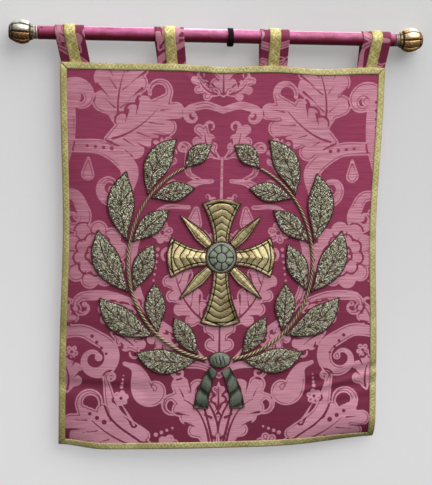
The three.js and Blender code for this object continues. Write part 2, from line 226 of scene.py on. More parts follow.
# a tube of rings; open ends get flat caps, and the rings are turned over if they face inwards
def addTube(parts, rings, loop=False, uv=None, **values):
    rows, sides = rings.shape[:2]
    way = np.cross(rings[1:] - rings[:-1], (np.roll(rings, -1, axis=1) - rings)[:-1])
    turn = -1 if np.sum(way * (rings - rings.mean(axis=1, keepdims=True))[:-1]) < 0 else 1
    caps = () if loop else (np.arange(sides), (rows - 1) * sides + np.arange(sides)[::-1])
    held = {key: np.broadcast_to(value, (rows, sides))[:, ::turn] for key, value in values.items()}
    pairs = None if uv is None else uv[:, ::turn]
    parts.add(rings[:, ::turn], gridFaces(rows, sides, loop, True), pairs, 0, caps, **held)


# points turned about the X axis at a radius
def turned(x, radius, turn):
    return np.stack(np.broadcast_arrays(x, radius * np.cos(turn), radius * np.sin(turn)), axis=-1)


# a twisted cord along a path on the cloth: a round section whose radius rises and falls as its strands
# turn, set up on the path's own side and normal
def addCord(parts, path, normals, radius, pitch, sides, loop=False, strands=2, depth=0.17):
    ahead = np.roll(path, -1, axis=0) - np.roll(path, 1, axis=0) if loop else np.gradient(path, axis=0)
    ahead = unit(ahead)
    side = unit(np.cross(ahead, normals))
    up = np.cross(side, ahead)
    run = runLength(path)
    turn = np.arange(sides) / sides * 2 * np.pi
    twist = strands * turn[None, :] - 2 * np.pi * run[:, None] / pitch
    swell = radius * (1 + depth * np.cos(twist))
    rings = (path[:, None, :] + swell[..., None] * (np.cos(turn)[None, :, None] * side[:, None, :]
                                                    + np.sin(turn)[None, :, None] * up[:, None, :]))
    # ply: the strands' crest, by which the cord paint lays painted light and shade
    addTube(parts, rings, loop, ply=np.cos(twist))


class Value:
    # wraps one node output so that sums, products and quotients of values become Math nodes
    def __init__(self, shade, socket):
        self.shade = shade
        self.socket = socket

    def maths(self, operation, first, second=0.0):
        return self.shade.node("ShaderNodeMath", {"operation": operation}, {0: first, 1: second})

    def __add__(self, other):
        return self.maths("ADD", self, other)

    def __radd__(self, other):
        return self.maths("ADD", other, self)

    def __sub__(self, other):
        return self.maths("SUBTRACT", self, other)

    def __rsub__(self, other):
        return self.maths("SUBTRACT", other, self)

    def __mul__(self, other):
        return self.maths("MULTIPLY", self, other)

    def __rmul__(self, other):
        return self.maths("MULTIPLY", other, self)

    def __truediv__(self, other):
        return self.maths("DIVIDE", self, other)

    def __rtruediv__(self, other):
        return self.maths("DIVIDE", other, self)

    def __abs__(self):
        return self.maths("ABSOLUTE", self)

    def sine(self):
        return self.maths("SINE", self)

    def fraction(self):
        return self.maths("FRACT", self)

    # 0 below low, 1 above high, eased between
    def step(self, low, high):
        return self.shade.node("ShaderNodeMapRange", {"interpolation_type": "SMOOTHSTEP"},
                               {0: self, 1: low, 2: high, 3: 0.0, 4: 1.0})


class Shade:
    # the nodes of one material or world; constants go on its shader's own sockets
    def __init__(self, owner, surface, **constants):
        self.owner = owner
        self.owner.use_nodes = True
        self.tree = owner.node_tree
        self.surface = self.tree.nodes[surface]
        self.put(**constants)

    # a value is linked to a socket, a colour or number is set on it
    def fill(self, socket, value):
        if isinstance(value, Value):
            self.tree.links.new(value.socket, socket)
        elif isinstance(value, tuple) and socket.type == "RGBA":
            socket.default_value = (*value, 1.0)
        else:
            socket.default_value = value

    # one node of a kind: its settings first, a ramp's stops among them, then its sockets
    def node(self, kind, settings=None, sockets=None, output=0):
        made = self.tree.nodes.new(kind)
        for key, value in (settings or {}).items():
            if key == "stops":
                self.setStops(made.color_ramp.elements, value)
            else:
                setattr(made, key, value)
        for key, value in (sockets or {}).items():
            self.fill(made.inputs[key], value)
        return Value(self, made.outputs[output])

    # greys at their places along a ramp, which starts with two
    def setStops(self, elements, stops):
        for place, _ in stops[1:-1]:
            elements.new(place)
        for element, (place, grey) in zip(elements, stops):
            element.position = place
            element.color = (grey, grey, grey, 1.0)

    # sockets of the shader itself
    def put(self, **links):
        for key, value in links.items():
            self.fill(self.surface.inputs[key.replace("_", " ")], value)

    # the piece's own place in metres, its weave map in millimetres, and a value held at its points
    def place(self):
        return self.node("ShaderNodeTexCoord", output="Object")

    def weave(self):
        return self.node("ShaderNodeUVMap", {"uv_map": "weave"})

    def held(self, name):
        return self.node("ShaderNodeAttribute", {"attribute_name": name}, output="Fac")

    # a vector's three parts, the vector stretched, and noise over it
    def axes(self, vector):
        return [self.node("ShaderNodeSeparateXYZ", sockets={0: vector}, output=k) for k in range(3)]

    def stretch(self, vector, scales):
        return self.node("ShaderNodeVectorMath", {"operation": "MULTIPLY"}, {0: vector, 1: scales})

    def noise(self, vector, scale, detail=3.0, roughness=0.55):
        sockets = {"Vector": vector, "Scale": scale, "Detail": detail, "Roughness": roughness}
        return self.node("ShaderNodeTexNoise", {}, sockets, "Fac")

    # from the first colour to the second by a factor
    def mix(self, factor, first, second):
        return self.node("ShaderNodeMix", {"data_type": "RGBA"}, {0: factor, 6: first, 7: second}, 2)

    # a normal from a height in metres of distance
    def bump(self, height, distance, strength):
        sockets = {"Strength": strength, "Distance": distance, "Height": height}
        return self.node("ShaderNodeBump", {}, sockets, "Normal")


# a new material on its Principled shader
def newPaint(name, **constants):
    return Shade(bpy.data.materials.new(name), "Principled BSDF", **constants)


# a screen colour of 0 to 255 as linear light: the standard screen curve undone
def tone(*screen):
    return tuple((c / 255 / 12.92) if c < 11 else ((c / 255 + 0.055) / 1.055)**2.4 for c in screen)


# the hung cloth, in millimetres: the CAD panel's own curve with its main creases, and fine creases added
panelForm = {"left": -301.0, "right": 283.0, "top": -50.5, "length": 697.0, "thick": 2.0, "front": -3.2,
             "waistLeft": 6.5, "waistRight": 9.0, "waistDown": 290.0, "waistReach": 170.0,
             "shortLeft": 8.0, "shortRight": 9.0, "curlLength": 46.0, "curlLeft": 0.38, "curlMiddle": 0.07,
             "curlRight": 0.85, "slackReach": 120.0, "sagReach": 180.0, "belly": 3.0, "wave": 2.6,
             "waveStart": 570.0, "waves": 1.7, "crumple": 0.55, "crumpleSize": 74.0}
panelWidth = panelForm["right"] - panelForm["left"]
tabFeet = [-275.6, -102.8, 77.7, 257.3]
topSpans = [{"sag": 0.6, "forward": 1.2}, {"sag": 3.4, "forward": 3.0}, {"sag": 4.2, "forward": 3.6}]
# ends on the flat cloth from its upper left corner, half width and depth; a depth below zero is a ridge
creaseRows = [
    {"ends": ((-20, 573), (150, 588)), "width": 13.0, "depth": 3.4},
    {"ends": ((-20, 477), (52, 485)), "width": 20.0, "depth": 2.6},
    {"ends": ((452, 580), (610, 540)), "width": 9.0, "depth": 2.2},
    {"ends": ((448, 600), (610, 572)), "width": 9.0, "depth": 2.4},
    {"ends": ((235, 12), (270, 48)), "width": 9.0, "depth": 1.6},
    {"ends": ((30, 566), (118, 572)), "width": 5.0, "depth": -0.7},
    {"ends": ((455, 563), (590, 533)), "width": 5.0, "depth": -0.6},
    {"ends": ((450, 591), (595, 556)), "width": 4.5, "depth": -0.8},
    {"ends": ((470, 618), (600, 600)), "width": 7.0, "depth": 0.8},
    {"ends": ((225, 20), (252, 52)), "width": 5.0, "depth": -0.5},
]


# the cloth's length down: cut shorter at its lower left corner and towards its lower right one
def cutLength(across):
    return (panelForm["length"] - panelForm["shortLeft"] * (1 - ease(0, 0.14, across))
            - panelForm["shortRight"] * ease(0.62, 1, across))


# sum over the creases of depth times a bell of the distance to the crease's line
def creaseDepth(flatX, down):
    total = np.zeros(np.broadcast(flatX, down).shape)
    for row in creaseRows:
        (x1, s1), (x2, s2) = row["ends"]
        dx = x2 - x1
        ds = s2 - s1
        t = np.clip(((flatX - x1) * dx + (down - s1) * ds) / (dx * dx + ds * ds), 0, 1)
        away = (flatX - x1 - t * dx)**2 + (down - s1 - t * ds)**2
        total = total + row["depth"] * np.exp(-away / row["width"]**2)
    return total


# front face at a share across and a length down: straight fall, waisted sides, slack between tabs,
# a shallow belly, a soft wave low down, creases, and the lower edge rolled back on an arc
def frontPoint(across, down):
    form = panelForm
    squeeze = np.exp(-((down - form["waistDown"]) / form["waistReach"])**2)
    x = lerp(form["left"] + form["waistLeft"] * squeeze,
             form["right"] - form["waistRight"] * squeeze, across)
    y = form["front"] + creaseDepth(across * panelWidth, down)
    z = np.full(np.broadcast(across, down).shape, form["top"])
    feet = [(foot - form["left"]) / panelWidth for foot in tabFeet]
    for span, start, end in zip(topSpans, feet[:-1], feet[1:]):
        bell = (1 - np.cos(2 * np.pi * np.clip((across - start) / (end - start), 0, 1))) / 2
        y = y - span["forward"] * bell * np.exp(-down / form["slackReach"])
        z = z - span["sag"] * bell * np.exp(-down / form["sagReach"])
    low = np.clip(down / form["length"], 0, 1)
    y = y - form["belly"] * np.sin(np.pi * low) * np.sin(np.pi * np.clip(across, 0, 1))
    swing = np.sin(2 * np.pi * (form["waves"] * across + 0.12))
    y = y + form["wave"] * ease(form["waveStart"], form["length"], down) * swing
    y = y + form["crumple"] * smoothNoise(across * panelWidth + 40, down + 40, form["crumpleSize"], 4)
    curl = (form["curlMiddle"] + form["curlLeft"] * (1 - ease(0, 0.17, across))
            + form["curlRight"] * ease(0.58, 1.02, across)**1.4)
    straight = cutLength(across) - form["curlLength"]
    rolled = curl * np.maximum(0, down - straight) / form["curlLength"]
    radius = form["curlLength"] / curl
    y = y + radius * (1 - np.cos(rolled))
    z = z - np.minimum(down, straight) - radius * np.sin(rolled)
    return np.stack(np.broadcast_arrays(x, y, z), axis=-1)


# the way the cloth faces: down the cloth crossed with along it, over a millimetre each
def facing(across, down, step=0.5):
    share = step / panelWidth
    fall = frontPoint(across, down + step) - frontPoint(across, down - step)
    along = frontPoint(across + share, down) - frontPoint(across - share, down)
    return unit(np.cross(fall, along))


# a point on the hung cloth, lifted off its front along the way it faces
def drape(across, down, lift):
    lift = np.asarray(lift, float)
    return frontPoint(across, down) + lift[..., None] * facing(across, down)


# the damask: own scrolls and leaves, mirrored about one upright line, as a distance to the figure's edge
damaskForm = {"axis": 290.0, "cell": 1.25, "wide": 300.0, "tall": 720.0, "repeatAcross": 299.0,
              "repeatDown": 715.0, "far": 40.0, "reach": 14.0}
damaskAcross = np.arange(0, damaskForm["wide"], damaskForm["cell"])
damaskDown = np.arange(0, damaskForm["tall"], damaskForm["cell"])
figureField = np.full((len(damaskDown), len(damaskAcross)), -damaskForm["far"])
veinField = -figureField
# leaves: midrib from base by bend to tip, width over the lobes, lobes a side, way the tip turns over
leafRows = [
    {"base": (0, 52), "bend": (0, 30), "tip": (0, 2), "wide": 44, "lobes": 2, "over": 0},
    {"base": (8, 50), "bend": (40, 48), "tip": (46, 16), "wide": 32, "lobes": 3, "over": -1},
    {"base": (186, 108), "bend": (196, 50), "tip": (166, -12), "wide": 88, "lobes": 3, "over": 0},
    {"base": (206, 134), "bend": (150, 126), "tip": (98, 56), "wide": 102, "lobes": 4, "over": 1},
    {"base": (102, 190), "bend": (102, 164), "tip": (110, 136), "wide": 46, "lobes": 4, "over": 0},
    {"base": (6, 164), "bend": (40, 146), "tip": (30, 104), "wide": 42, "lobes": 3, "over": -1},
    {"base": (0, 258), "bend": (14, 258), "tip": (22, 232), "wide": 20, "lobes": 2, "over": 1},
    {"base": (0, 330), "bend": (18, 330), "tip": (28, 298), "wide": 26, "lobes": 2, "over": 1},
    {"base": (14, 470), "bend": (86, 430), "tip": (86, 338), "wide": 64, "lobes": 5, "over": 1},
    {"base": (0, 540), "bend": (0, 470), "tip": (0, 404), "wide": 54, "lobes": 4, "over": 0},
    {"base": (156, 444), "bend": (186, 430), "tip": (214, 452), "wide": 44, "lobes": 3, "over": 1},
    {"base": (116, 700), "bend": (196, 690), "tip": (252, 618), "wide": 112, "lobes": 5, "over": -1},
    {"base": (14, 706), "bend": (22, 606), "tip": (86, 600), "wide": 90, "lobes": 4, "over": 1},
    {"base": (0, 622), "bend": (0, 604), "tip": (0, 576), "wide": 24, "lobes": 2, "over": 0},
    {"base": (276, 588), "bend": (266, 560), "tip": (286, 526), "wide": 46, "lobes": 3, "over": 1},
    {"base": (196, 482), "bend": (170, 488), "tip": (148, 516), "wide": 46, "lobes": 3, "over": -1},
    {"base": (124, 470), "bend": (112, 496), "tip": (84, 506), "wide": 42, "lobes": 3, "over": 1},
    {"base": (302, 474), "bend": (280, 456), "tip": (270, 428), "wide": 44, "lobes": 3, "over": 1},
    {"base": (302, 300), "bend": (288, 284), "tip": (290, 262), "wide": 34, "lobes": 3, "over": -1},
]
# scroll bands: points along the middle, half widths at start, middle and end, the volute each one ends
# in, with its way of turning, first radius and number of turns, and slanting slits
bandRows = [
    {"through": ((0, 78), (30, 70), (56, 76)), "half": (6, 7, 3.5), "curl": (1, 15, 1.0)},
    {"through": ((268, 146), (214, 150), (170, 184), (176, 222)), "half": (12, 16, 7),
     "curl": (-1, 27, 1.2)},
    {"through": ((299, 188), (284, 130), (284, 66)), "half": (17, 20, 8), "curl": (-1, 27, 1.15)},
    {"through": ((299, 232), (268, 234), (252, 262)), "half": (9, 12, 5), "curl": (-1, 22, 1.1)},
    {"through": ((42, 204), (62, 190), (60, 152)), "half": (4, 7, 3.5), "curl": (1, 12, 0.95)},
    {"through": ((18, 206), (48, 210), (76, 228)), "half": (4, 8, 4), "curl": (-1, 16, 1.0)},
    {"through": ((0, 164), (0, 260), (0, 340)), "half": (2, 2.6, 2), "curl": (1, 2, 0.1)},
    {"through": ((60, 254), (110, 258), (156, 314), (158, 384), (130, 446), (66, 492), (22, 536)),
     "half": (4, 8, 4), "curl": (1, 8, 0.3)},
    {"through": ((150, 428), (200, 414), (246, 414)), "half": (5, 9, 4), "curl": (1, 20, 1.05)},
    {"through": ((299, 484), (252, 478), (214, 496)), "half": (11, 14, 6), "curl": (-1, 35, 1.2)},
    {"through": ((172, 538), (150, 550), (139, 588)), "half": (4, 20, 7), "curl": (1, 19, 1.1)},
    {"through": ((0, 562), (30, 544), (70, 540)), "half": (5, 7, 3.5), "curl": (1, 15, 1.1)},
    {"through": ((3, 706), (10, 650), (34, 586)), "half": (3, 7, 2.5), "curl": (1, 4, 0.1), "slits": 8},
    {"through": ((136, 672), (188, 630), (206, 568)), "half": (12, 11, 4), "curl": (-1, 11, 0.95)},
    {"through": ((154, 652), (164, 634), (176, 614)), "half": (3.4, 2.0, 1.6), "curl": (1, 3, 0.1)},
]
dot = 0.01  # length of a capsule that stands for a round dot
# petalled flowers, rows of beads and rows of holes
flowerRows = [{"at": (232, 340), "petals": 10, "reach": 45, "half": 17},
              {"at": (232, 340), "petals": 8, "reach": 26, "half": 12},
              {"at": (232, 340), "petals": 6, "reach": 10, "half": 6},
              {"at": (178, 602), "petals": 6, "reach": 9.5, "half": 5.0},
              {"at": (108, 300), "petals": 6, "reach": 13, "half": 7.0},
              {"at": (92, 690), "petals": 6, "reach": 13, "half": 7.5},
              {"at": (268, 516), "petals": 5, "reach": 8, "half": 4.6}]
beadRows = [{"from": (177, 582), "to": (174, 560), "count": 4, "half": (3.4, 1.8)},
            {"from": (116, 330), "to": (124, 398), "count": 7, "half": (3.4, 2.2)},
            {"from": (114, 670), "to": (84, 658), "count": 4, "half": (4.0, 2.4)},
            {"from": (122, 190), "to": (134, 220), "count": 5, "half": (3.2, 1.8)},
            {"from": (292, 376), "to": (280, 388), "count": 3, "half": (3.2, 2.0)},
            {"from": (242, 168), "to": (244, 196), "count": 8, "half": (3.0, 12.0)},
            {"from": (46, 258), "to": (49, 282), "count": 8, "half": (6.0, 14.0)}]
holeRows = [{"from": (288, 168), "to": (280, 62), "count": 8, "half": (2.8, 1.8)},
            {"from": (200, 150), "to": (244, 146), "count": 4, "half": (2.6, 2.0)},
            {"from": (208, 646), "to": (234, 630), "count": 3, "half": (3.6, 2.4)},
            {"from": (206, 520), "to": (232, 488), "count": 4, "half": (1.6, 2.4)}]


# one capsule: radius from one end to the other less the distance to its line, above zero inside
def capsule(start, end, first, last):
    start = np.asarray(start, float)
    end = np.asarray(end, float)
    reach = max(first, last) + damaskForm["reach"]
    low = np.minimum(start, end) - reach
    high = np.maximum(start, end) + reach
    columns = slice(*np.searchsorted(damaskAcross, (low[0], high[0])))
    rows = slice(*np.searchsorted(damaskDown, (low[1], high[1])))
    x = damaskAcross[None, columns] - start[0]
    y = damaskDown[rows, None] - start[1]
    dx, dy = end - start
    t = np.clip((x * dx + y * dy) / max(dx * dx + dy * dy, 1e-6), 0, 1)
    return (rows, columns), lerp(first, last, t) - np.hypot(x - t * dx, y - t * dy)


# a capsule joined to a shape's figure: the larger of the two at each point
def stampFigure(shape, start, end, first, last):
    window, inside = capsule(start, end, first, last)
    shape[0][window] = np.maximum(shape[0][window], inside)


# a capsule cut out of a shape as a vein: the smaller distance to any of its veins
def stampVein(shape, start, end, first, last):
    window, inside = capsule(start, end, first, last)
    shape[1][window] = np.minimum(shape[1][window], -inside)


# a shape laid over the others: it hides their veins, and its edge is a line where it crosses them
def layShape(stamp, row):
    far = damaskForm["far"]
    shape = [np.full(figureField.shape, -far), np.full(figureField.shape, far)]
    stamp(shape, row)
    crossed = (figureField > 1.0) & (shape[0] > -4)
    line = np.where(crossed, np.abs(shape[0] + 1.0) - 1.1, far)
    veinField[:] = np.minimum(np.where(shape[0] > 0.8, far, veinField), np.minimum(line, shape[1]))
    figureField[:] = np.maximum(figureField, shape[0])


# a curve from base to tip that is drawn towards its bend: shares of the three that add up to one
def bent(base, bend, tip, t):
    return (1 - t)**2 * base + 2 * t * (1 - t) * bend + t**2 * tip


# shares of a leaf's width: its body's half width at the ends and more of it in the middle, the hook's
# half width, what it loses at each step, and the step; the hook's turn at each step, in radians; the
# width that has vein lines
leafCut = {"marks": 16, "body": 0.045, "swell": 0.25, "hook": 0.07, "taper": 0.004, "step": 0.075,
           "hookSteps": 9, "hookTurn": 0.43, "veined": 56}


# a scalloped leaf: capsules for a broad body that swells then shrinks and for a hook turned over at its
# tip, and a round lobe at each mark of both sides, larger on the side away from the hook; a slit that
# follows the flow runs in from each notch between two lobes, and a tapering line along the midrib
def stampLeaf(shape, row):
    base, bend, tip = (np.asarray(row[key], float) for key in ("base", "bend", "tip"))
    wide = row["wide"]
    count = row["lobes"]
    marks = leafCut["marks"]
    t = np.linspace(0, 1, marks + 1)[:, None]
    rib = bent(base, bend, tip, t)
    long = runLength(rib)[-1]
    half = wide * (leafCut["body"] + leafCut["swell"] * np.sin(np.pi * (0.04 + 0.93 * t[:, 0])))
    line = lerp(1.2, -0.4, t[:, 0])
    for k in range(marks):
        stampFigure(shape, rib[k], rib[k + 1], half[k], half[k + 1])
        if 1 <= k < marks - 3:
            stampVein(shape, rib[k], rib[k + 1], line[k], line[k + 1])
    heading = math.atan2(*(tip - bend)[::-1])
    at = tip
    for k in range(leafCut["hookSteps"] if row["over"] else 1):
        heading += row["over"] * leafCut["hookTurn"]
        after = at + wide * leafCut["step"] * np.array([math.cos(heading), math.sin(heading)])
        first, last = (wide * (leafCut["hook"] - leafCut["taper"] * number) for number in (k, k + 1))
        stampFigure(shape, at, after, first, last)
        at = after
    share = 0.1 + 0.8 * (np.arange(count)[:, None] + 0.5) / count
    point = bent(base, bend, tip, share)
    ahead = unit(2 * (1 - share) * (bend - base) + 2 * share * (tip - bend))
    beside = np.stack([-ahead[:, 1], ahead[:, 0]], axis=1)
    for side in (-1, 1):
        hooked = side * row["over"] > 0  # the side that the hook turns to
        outer = 0.8 if hooked else 1.0
        lean = 0.4 + 0.4 * share
        swell = np.sin(np.pi * (0.2 + 0.62 * share))
        out = beside * side * np.cos(lean) + ahead * np.sin(lean)
        lobe = np.minimum(0.5 * long / count, 0.24 * wide) * (0.6 + 0.4 * swell[:, 0]) * outer
        end = point + out * np.maximum(wide / 2 * swell * outer - lobe[:, None] * 0.5, 0)
        for k in range(count - hooked):
            stampFigure(shape, point[k], end[k], lobe[k] * 0.8, lobe[k])
            if wide > leafCut["veined"] and not hooked:
                tipward = lerp(point[k], end[k], 0.85) + ahead[k] * lobe[k] * 0.3
                stampVein(shape, lerp(point[k], end[k], 0.2), tipward, 0.4, -0.5)
        for k in range(count - 1 - hooked):
            middle = (end[k] + end[k + 1]) / 2
            notch = middle + unit(out[k] + out[k + 1]) * (lobe[k] + lobe[k + 1]) * 0.4
            root = lerp(middle, (point[k] + point[k + 1]) / 2, 0.35) - ahead[k] * lobe[k] * 0.35
            stampVein(shape, notch, root, 1.3, -0.5)


# a band's middle line: a smooth curve through its points, then a spiral whose radius shrinks as it turns
def bandPath(row):
    path = throughPoints(row["through"], 12)
    side, radius, turns = row["curl"]
    start = math.atan2(*(path[-1] - path[-2])[::-1])
    steps = 44  # of the spiral
    turn = 2 * math.pi * turns / steps
    heading = start + side * turn * (np.arange(steps) + 0.5)
    radii = radius * (1 - 0.8 * np.linspace(0, 1, steps))
    moves = (radii * turn)[:, None] * np.stack([np.cos(heading), np.sin(heading)], axis=1)
    return np.vstack([path, path[-1] + np.cumsum(moves, axis=0)])


# a scroll band: capsules along its line, whose half width swells in the middle; it ends in a round eye,
# and its slits slant from the middle to one edge
def stampBand(shape, row, widest=0.45):
    path = bandPath(row)
    run = runLength(path)
    t = run / run[-1]
    first, middle, last = row["half"]
    half = np.where(t < widest, lerp(first, middle, ease(0, widest, t)),
                    lerp(middle, last * 0.6, ease(widest, 1, t)))
    for k in range(len(path) - 1):
        stampFigure(shape, path[k], path[k + 1], half[k], half[k + 1])
    stampFigure(shape, path[-1], path[-1] + dot, last + 1.0, last + 1.0)
    for share in np.arange(row.get("slits", 0)) / 9 + 0.1:
        k = int(share * len(path))
        ahead = unit(path[k + 1] - path[k])
        beside = np.array([ahead[1], -ahead[0]])
        stampVein(shape, path[k], path[k] + (ahead * 1.2 - beside) * half[k], 1.9, -0.4)


# a flower: capsules out from its middle at even turns, each widening to a petal, and a round hole
def stampFlower(shape, row):
    at = np.asarray(row["at"], float)
    for k in range(row["petals"]):
        turn = 2 * math.pi * (k + 0.25) / row["petals"]
        out = at + row["reach"] * np.array([math.cos(turn), math.sin(turn)])
        stampFigure(shape, lerp(at, out, 0.5), out, row["half"] * 0.6, row["half"])
    stampVein(shape, at, at + dot, row["half"] * 0.4, row["half"] * 0.4)


# a row of dots at even steps from one end to the other, their radius changing evenly
def stampDots(shape, row, stampOne):
    for t in np.linspace(0, 1, row["count"]):
        at = lerp(np.asarray(row["from"], float), np.asarray(row["to"], float), t)
        half = lerp(row["half"][0], row["half"][1], t)
        stampOne(shape, at, at + dot, half, half)


def stampBeads(shape, row):
    stampDots(shape, row, stampFigure)


def stampHoles(shape, row):
    stampDots(shape, row, stampVein)


stampRows = ((stampLeaf, leafRows), (stampBand, bandRows), (stampFlower, flowerRows),
             (stampBeads, beadRows), (stampHoles, holeRows))
for stamp, rows in stampRows:
    for row in rows:
        layShape(stamp, row)


# both fields at a place on the cloth, by bilinear weights; they repeat, mirrored at the axis
def damaskAt(flatX, down):
    form = damaskForm
    right = np.abs(np.asarray(flatX, float) - form["axis"]) % form["repeatAcross"] / form["cell"]
    down = np.abs(np.asarray(down, float)) % form["repeatDown"] / form["cell"]
    column = np.clip(right.astype(int), 0, len(damaskAcross) - 2)
    row = np.clip(down.astype(int), 0, len(damaskDown) - 2)
    read = []
    for field in (figureField, veinField):
        top = lerp(field[row, column], field[row, column + 1], right - column)
        low = lerp(field[row + 1, column], field[row + 1, column + 1], right - column)
        read.append(np.clip(lerp(top, low, down - row), -form["reach"], form["reach"]))
    return read


print("stage 3: damask field")


# damask: ground and figure tones chosen by the distance to the figure's edge and veins, with an uneven
# edge and a thin darker rim inside it; both tones streak along the weft; as painted light and shade the
# ground darkens and the figure pales towards the lower edge, painted shade deepens the left side, and
# the back shows them exchanged
def damaskShade(name, ground, figure, streak):
    shade = newPaint(name, Sheen_Weight=0.05, Sheen_Roughness=0.45, Specular_IOR_Level=0.3)
    flat = shade.weave()
    place = shade.place()
    figureEdge = shade.held("figure")
    veinEdge = shade.held("vein")
    backSide = shade.held("backSide")
    threads = shade.noise(shade.stretch(flat, (0.035, 0.9, 1.0)), 1.0, 4.0, 0.65)
    slubs = shade.noise(shade.stretch(flat, (0.016, 0.5, 1.0)), 1.0, 2.0)
    cloudy = shade.noise(place, 5.0, 2.0)
    wander = (threads - 0.5) * 0.9
    inside = (figureEdge + wander).step(-0.45, 0.45) * (veinEdge + wander * 0.5).step(0.7, 1.5)
    rim = abs(figureEdge - 3.6).step(0.45, 1.15)
    drawn = inside * (1 - (1 - rim) * shade.noise(place, 16.0, 1.0).step(0.44, 0.54) * 0.85)
    show = drawn * (1 - backSide) + (1 - drawn) * backSide * 0.55
    across, _, up = shade.axes(place)
    paintedFootLight = up.step(-0.2, -0.72)  # painted light and shade: ground darker, figure paler towards the lower edge
    groundTone = shade.mix(slubs.step(0.3, 0.7), ground[0], ground[1])
    # painted shade darkens the lower ground, painted light pales the lower figure
    groundTone = shade.mix(paintedFootLight * 0.7, groundTone, ground[2])
    dullTone = shade.mix(paintedFootLight * 0.5, figure[0], figure[1])
    clearTone = shade.mix(paintedFootLight * 0.7, figure[1], figure[2])
    streaks = threads * 0.4 + slubs * 0.8 + cloudy * 0.3
    figureTone = shade.mix(streaks.step(0.52, 0.98), dullTone, clearTone)
    colour = shade.mix(show, groundTone, figureTone)
    paintedSideShade = across.step(-0.17, -0.31) * 0.22  # painted shade on the left side, away from the light
    # more painted shade at the left middle of the panel
    paintedSideShade = paintedSideShade + across.step(-0.2, -0.29) * up.step(-0.1, -0.22) * (1 - up.step(-0.45, -0.58)) * 0.22
    # random cloudy streaks and the painted side shade both deepen to the darkest ground tone
    colour = shade.mix(cloudy.step(0.35, 0.75) * streak + paintedSideShade, colour, ground[2])
    warp, weft, _ = shade.axes(flat)
    cross = (warp * 5.2).sine() * 0.5 + (weft * 6.4).sine() * 0.5
    height = show * 0.35 + threads * 0.5 + cross * 0.12
    shade.put(Base_Color=colour, Roughness=0.62 - show * 0.17 + (threads - 0.5) * 0.1,
              Normal=shade.bump(height, 0.0003, 0.55))
    return shade.owner


# woven gold braid: lozenges and a running vine of bright threads on a darker twill, with painted glints
# and wear
def braidShade(name, wide, period, bright, deep, shine):
    shade = newPaint(name, Specular_IOR_Level=0.5)
    flat = shade.weave()
    place = shade.place()
    across, along, _ = shade.axes(flat)
    wave = abs((along / period).fraction() * 2 - 1)
    lozenge = abs(abs(across / wide * 2 - 1) - wave)
    vine = abs(across / wide - 0.5 - (along * (3.1 / period)).sine() * 0.22)
    edges = abs(across / wide * 2 - 1).step(0.98, 0.86)
    bars = ((1 - lozenge.step(0.08, 0.34)) * 0.6 + (1 - vine.step(0.05, 0.16)) * 0.6) * edges
    ribs = ((along * 4.2).sine() * (across * 4.2).sine()).step(-0.4, 0.6)
    # painted glints: bright specks in the colour, which are also more metallic and glossier
    paintedGlint = shade.noise(place, 900.0, 2.0).step(0.42, 0.68)
    worn = shade.noise(place, 26.0, 3.0).step(0.35, 0.72)
    level = bars * 0.3 + ribs * 0.18 + paintedGlint * 0.42 + worn * 0.25
    right, _, up = shade.axes(place)
    paintedBraidShade = right.step(-0.282, -0.294) * up.step(-0.055, -0.09) * 0.32  # painted shade down the left side
    colour = shade.mix(level.step(0.1, 0.95) - paintedBraidShade, deep, bright)
    shade.put(Base_Color=colour, Metallic=shine + paintedGlint * 0.25, Roughness=0.56 - paintedGlint * 0.18,
              Normal=shade.bump(bars * 0.8 + ribs * 0.5 + paintedGlint * 0.3, 0.0004, 0.6))
    return shade.owner


# padded thread work: threads laid side by side over the weave map, with painted glints, and painted shade
# in the hollows and between the thread rows
def threadShade(name, bright, middle, deep, shine, dull):
    shade = newPaint(name, Specular_IOR_Level=0.5)
    flat = shade.weave()
    place = shade.place()
    rows = (shade.axes(flat)[0] * 5.6).sine() * 0.5 + 0.5
    # painted glints: bright specks in the colour
    paintedGlint = shade.noise(place, 700.0, 2.0).step(0.4, 0.7)
    worn = shade.noise(place, 48.0, 3.0)
    # the hollows, where painted shade darkens the colour and the thread is rougher
    hollowShade = shade.held("hollow")
    patina = shade.noise(place, 21.0, 4.0)
    level = rows * 0.3 + paintedGlint * 0.4 + (worn - 0.5) * 0.8 + (patina - 0.5) * 1.1 + 0.12
    colour = shade.mix(level.step(0.05, 0.55), middle, bright)
    # painted shade in the hollows and between the thread rows, with dark wear patches
    colour = shade.mix((hollowShade + (1 - rows) * 0.25 + (0.5 - worn) * 0.7).step(0.25, 0.9), colour, deep)
    shade.put(Base_Color=colour, Metallic=shine, Roughness=dull - paintedGlint * 0.14 + hollowShade * 0.2,
              Normal=shade.bump(rows + paintedGlint * 0.4, 0.0004, 0.6))
    return shade.owner


# cut metal purl: short coils, each with its own tint, ringed by the coil's turns
def purlShade(name, bright, middle, deep, shine):
    shade = newPaint(name, Specular_IOR_Level=0.5)
    place = shade.place()
    tint = shade.held("tint")
    coil = (shade.axes(shade.weave())[1] * 9.0).sine() * 0.5 + 0.5
    worn = shade.noise(place, 60.0, 2.0)
    colour = shade.mix(tint.step(0.05, 0.75), deep, middle)
    colour = shade.mix((tint + (worn - 0.5) * 0.7).step(0.55, 1.05), colour, bright)
    shade.put(Base_Color=colour, Metallic=shine, Roughness=0.4 + (worn - 0.5) * 0.2,
              Normal=shade.bump(coil, 0.0002, 0.5))
    return shade.owner


# padding felt under the purl: two tones by a fine fuzz
def feltShade(name, light, dark):
    shade = newPaint(name, Specular_IOR_Level=0.25, Sheen_Weight=0.1)
    place = shade.place()
    fuzz = shade.noise(place, 420.0, 3.0)
    shade.put(Base_Color=shade.mix(fuzz.step(0.3, 0.7), dark, light), Roughness=0.75 + (fuzz - 0.5) * 0.2,
              Normal=shade.bump(fuzz, 0.0005, 0.5))
    return shade.owner


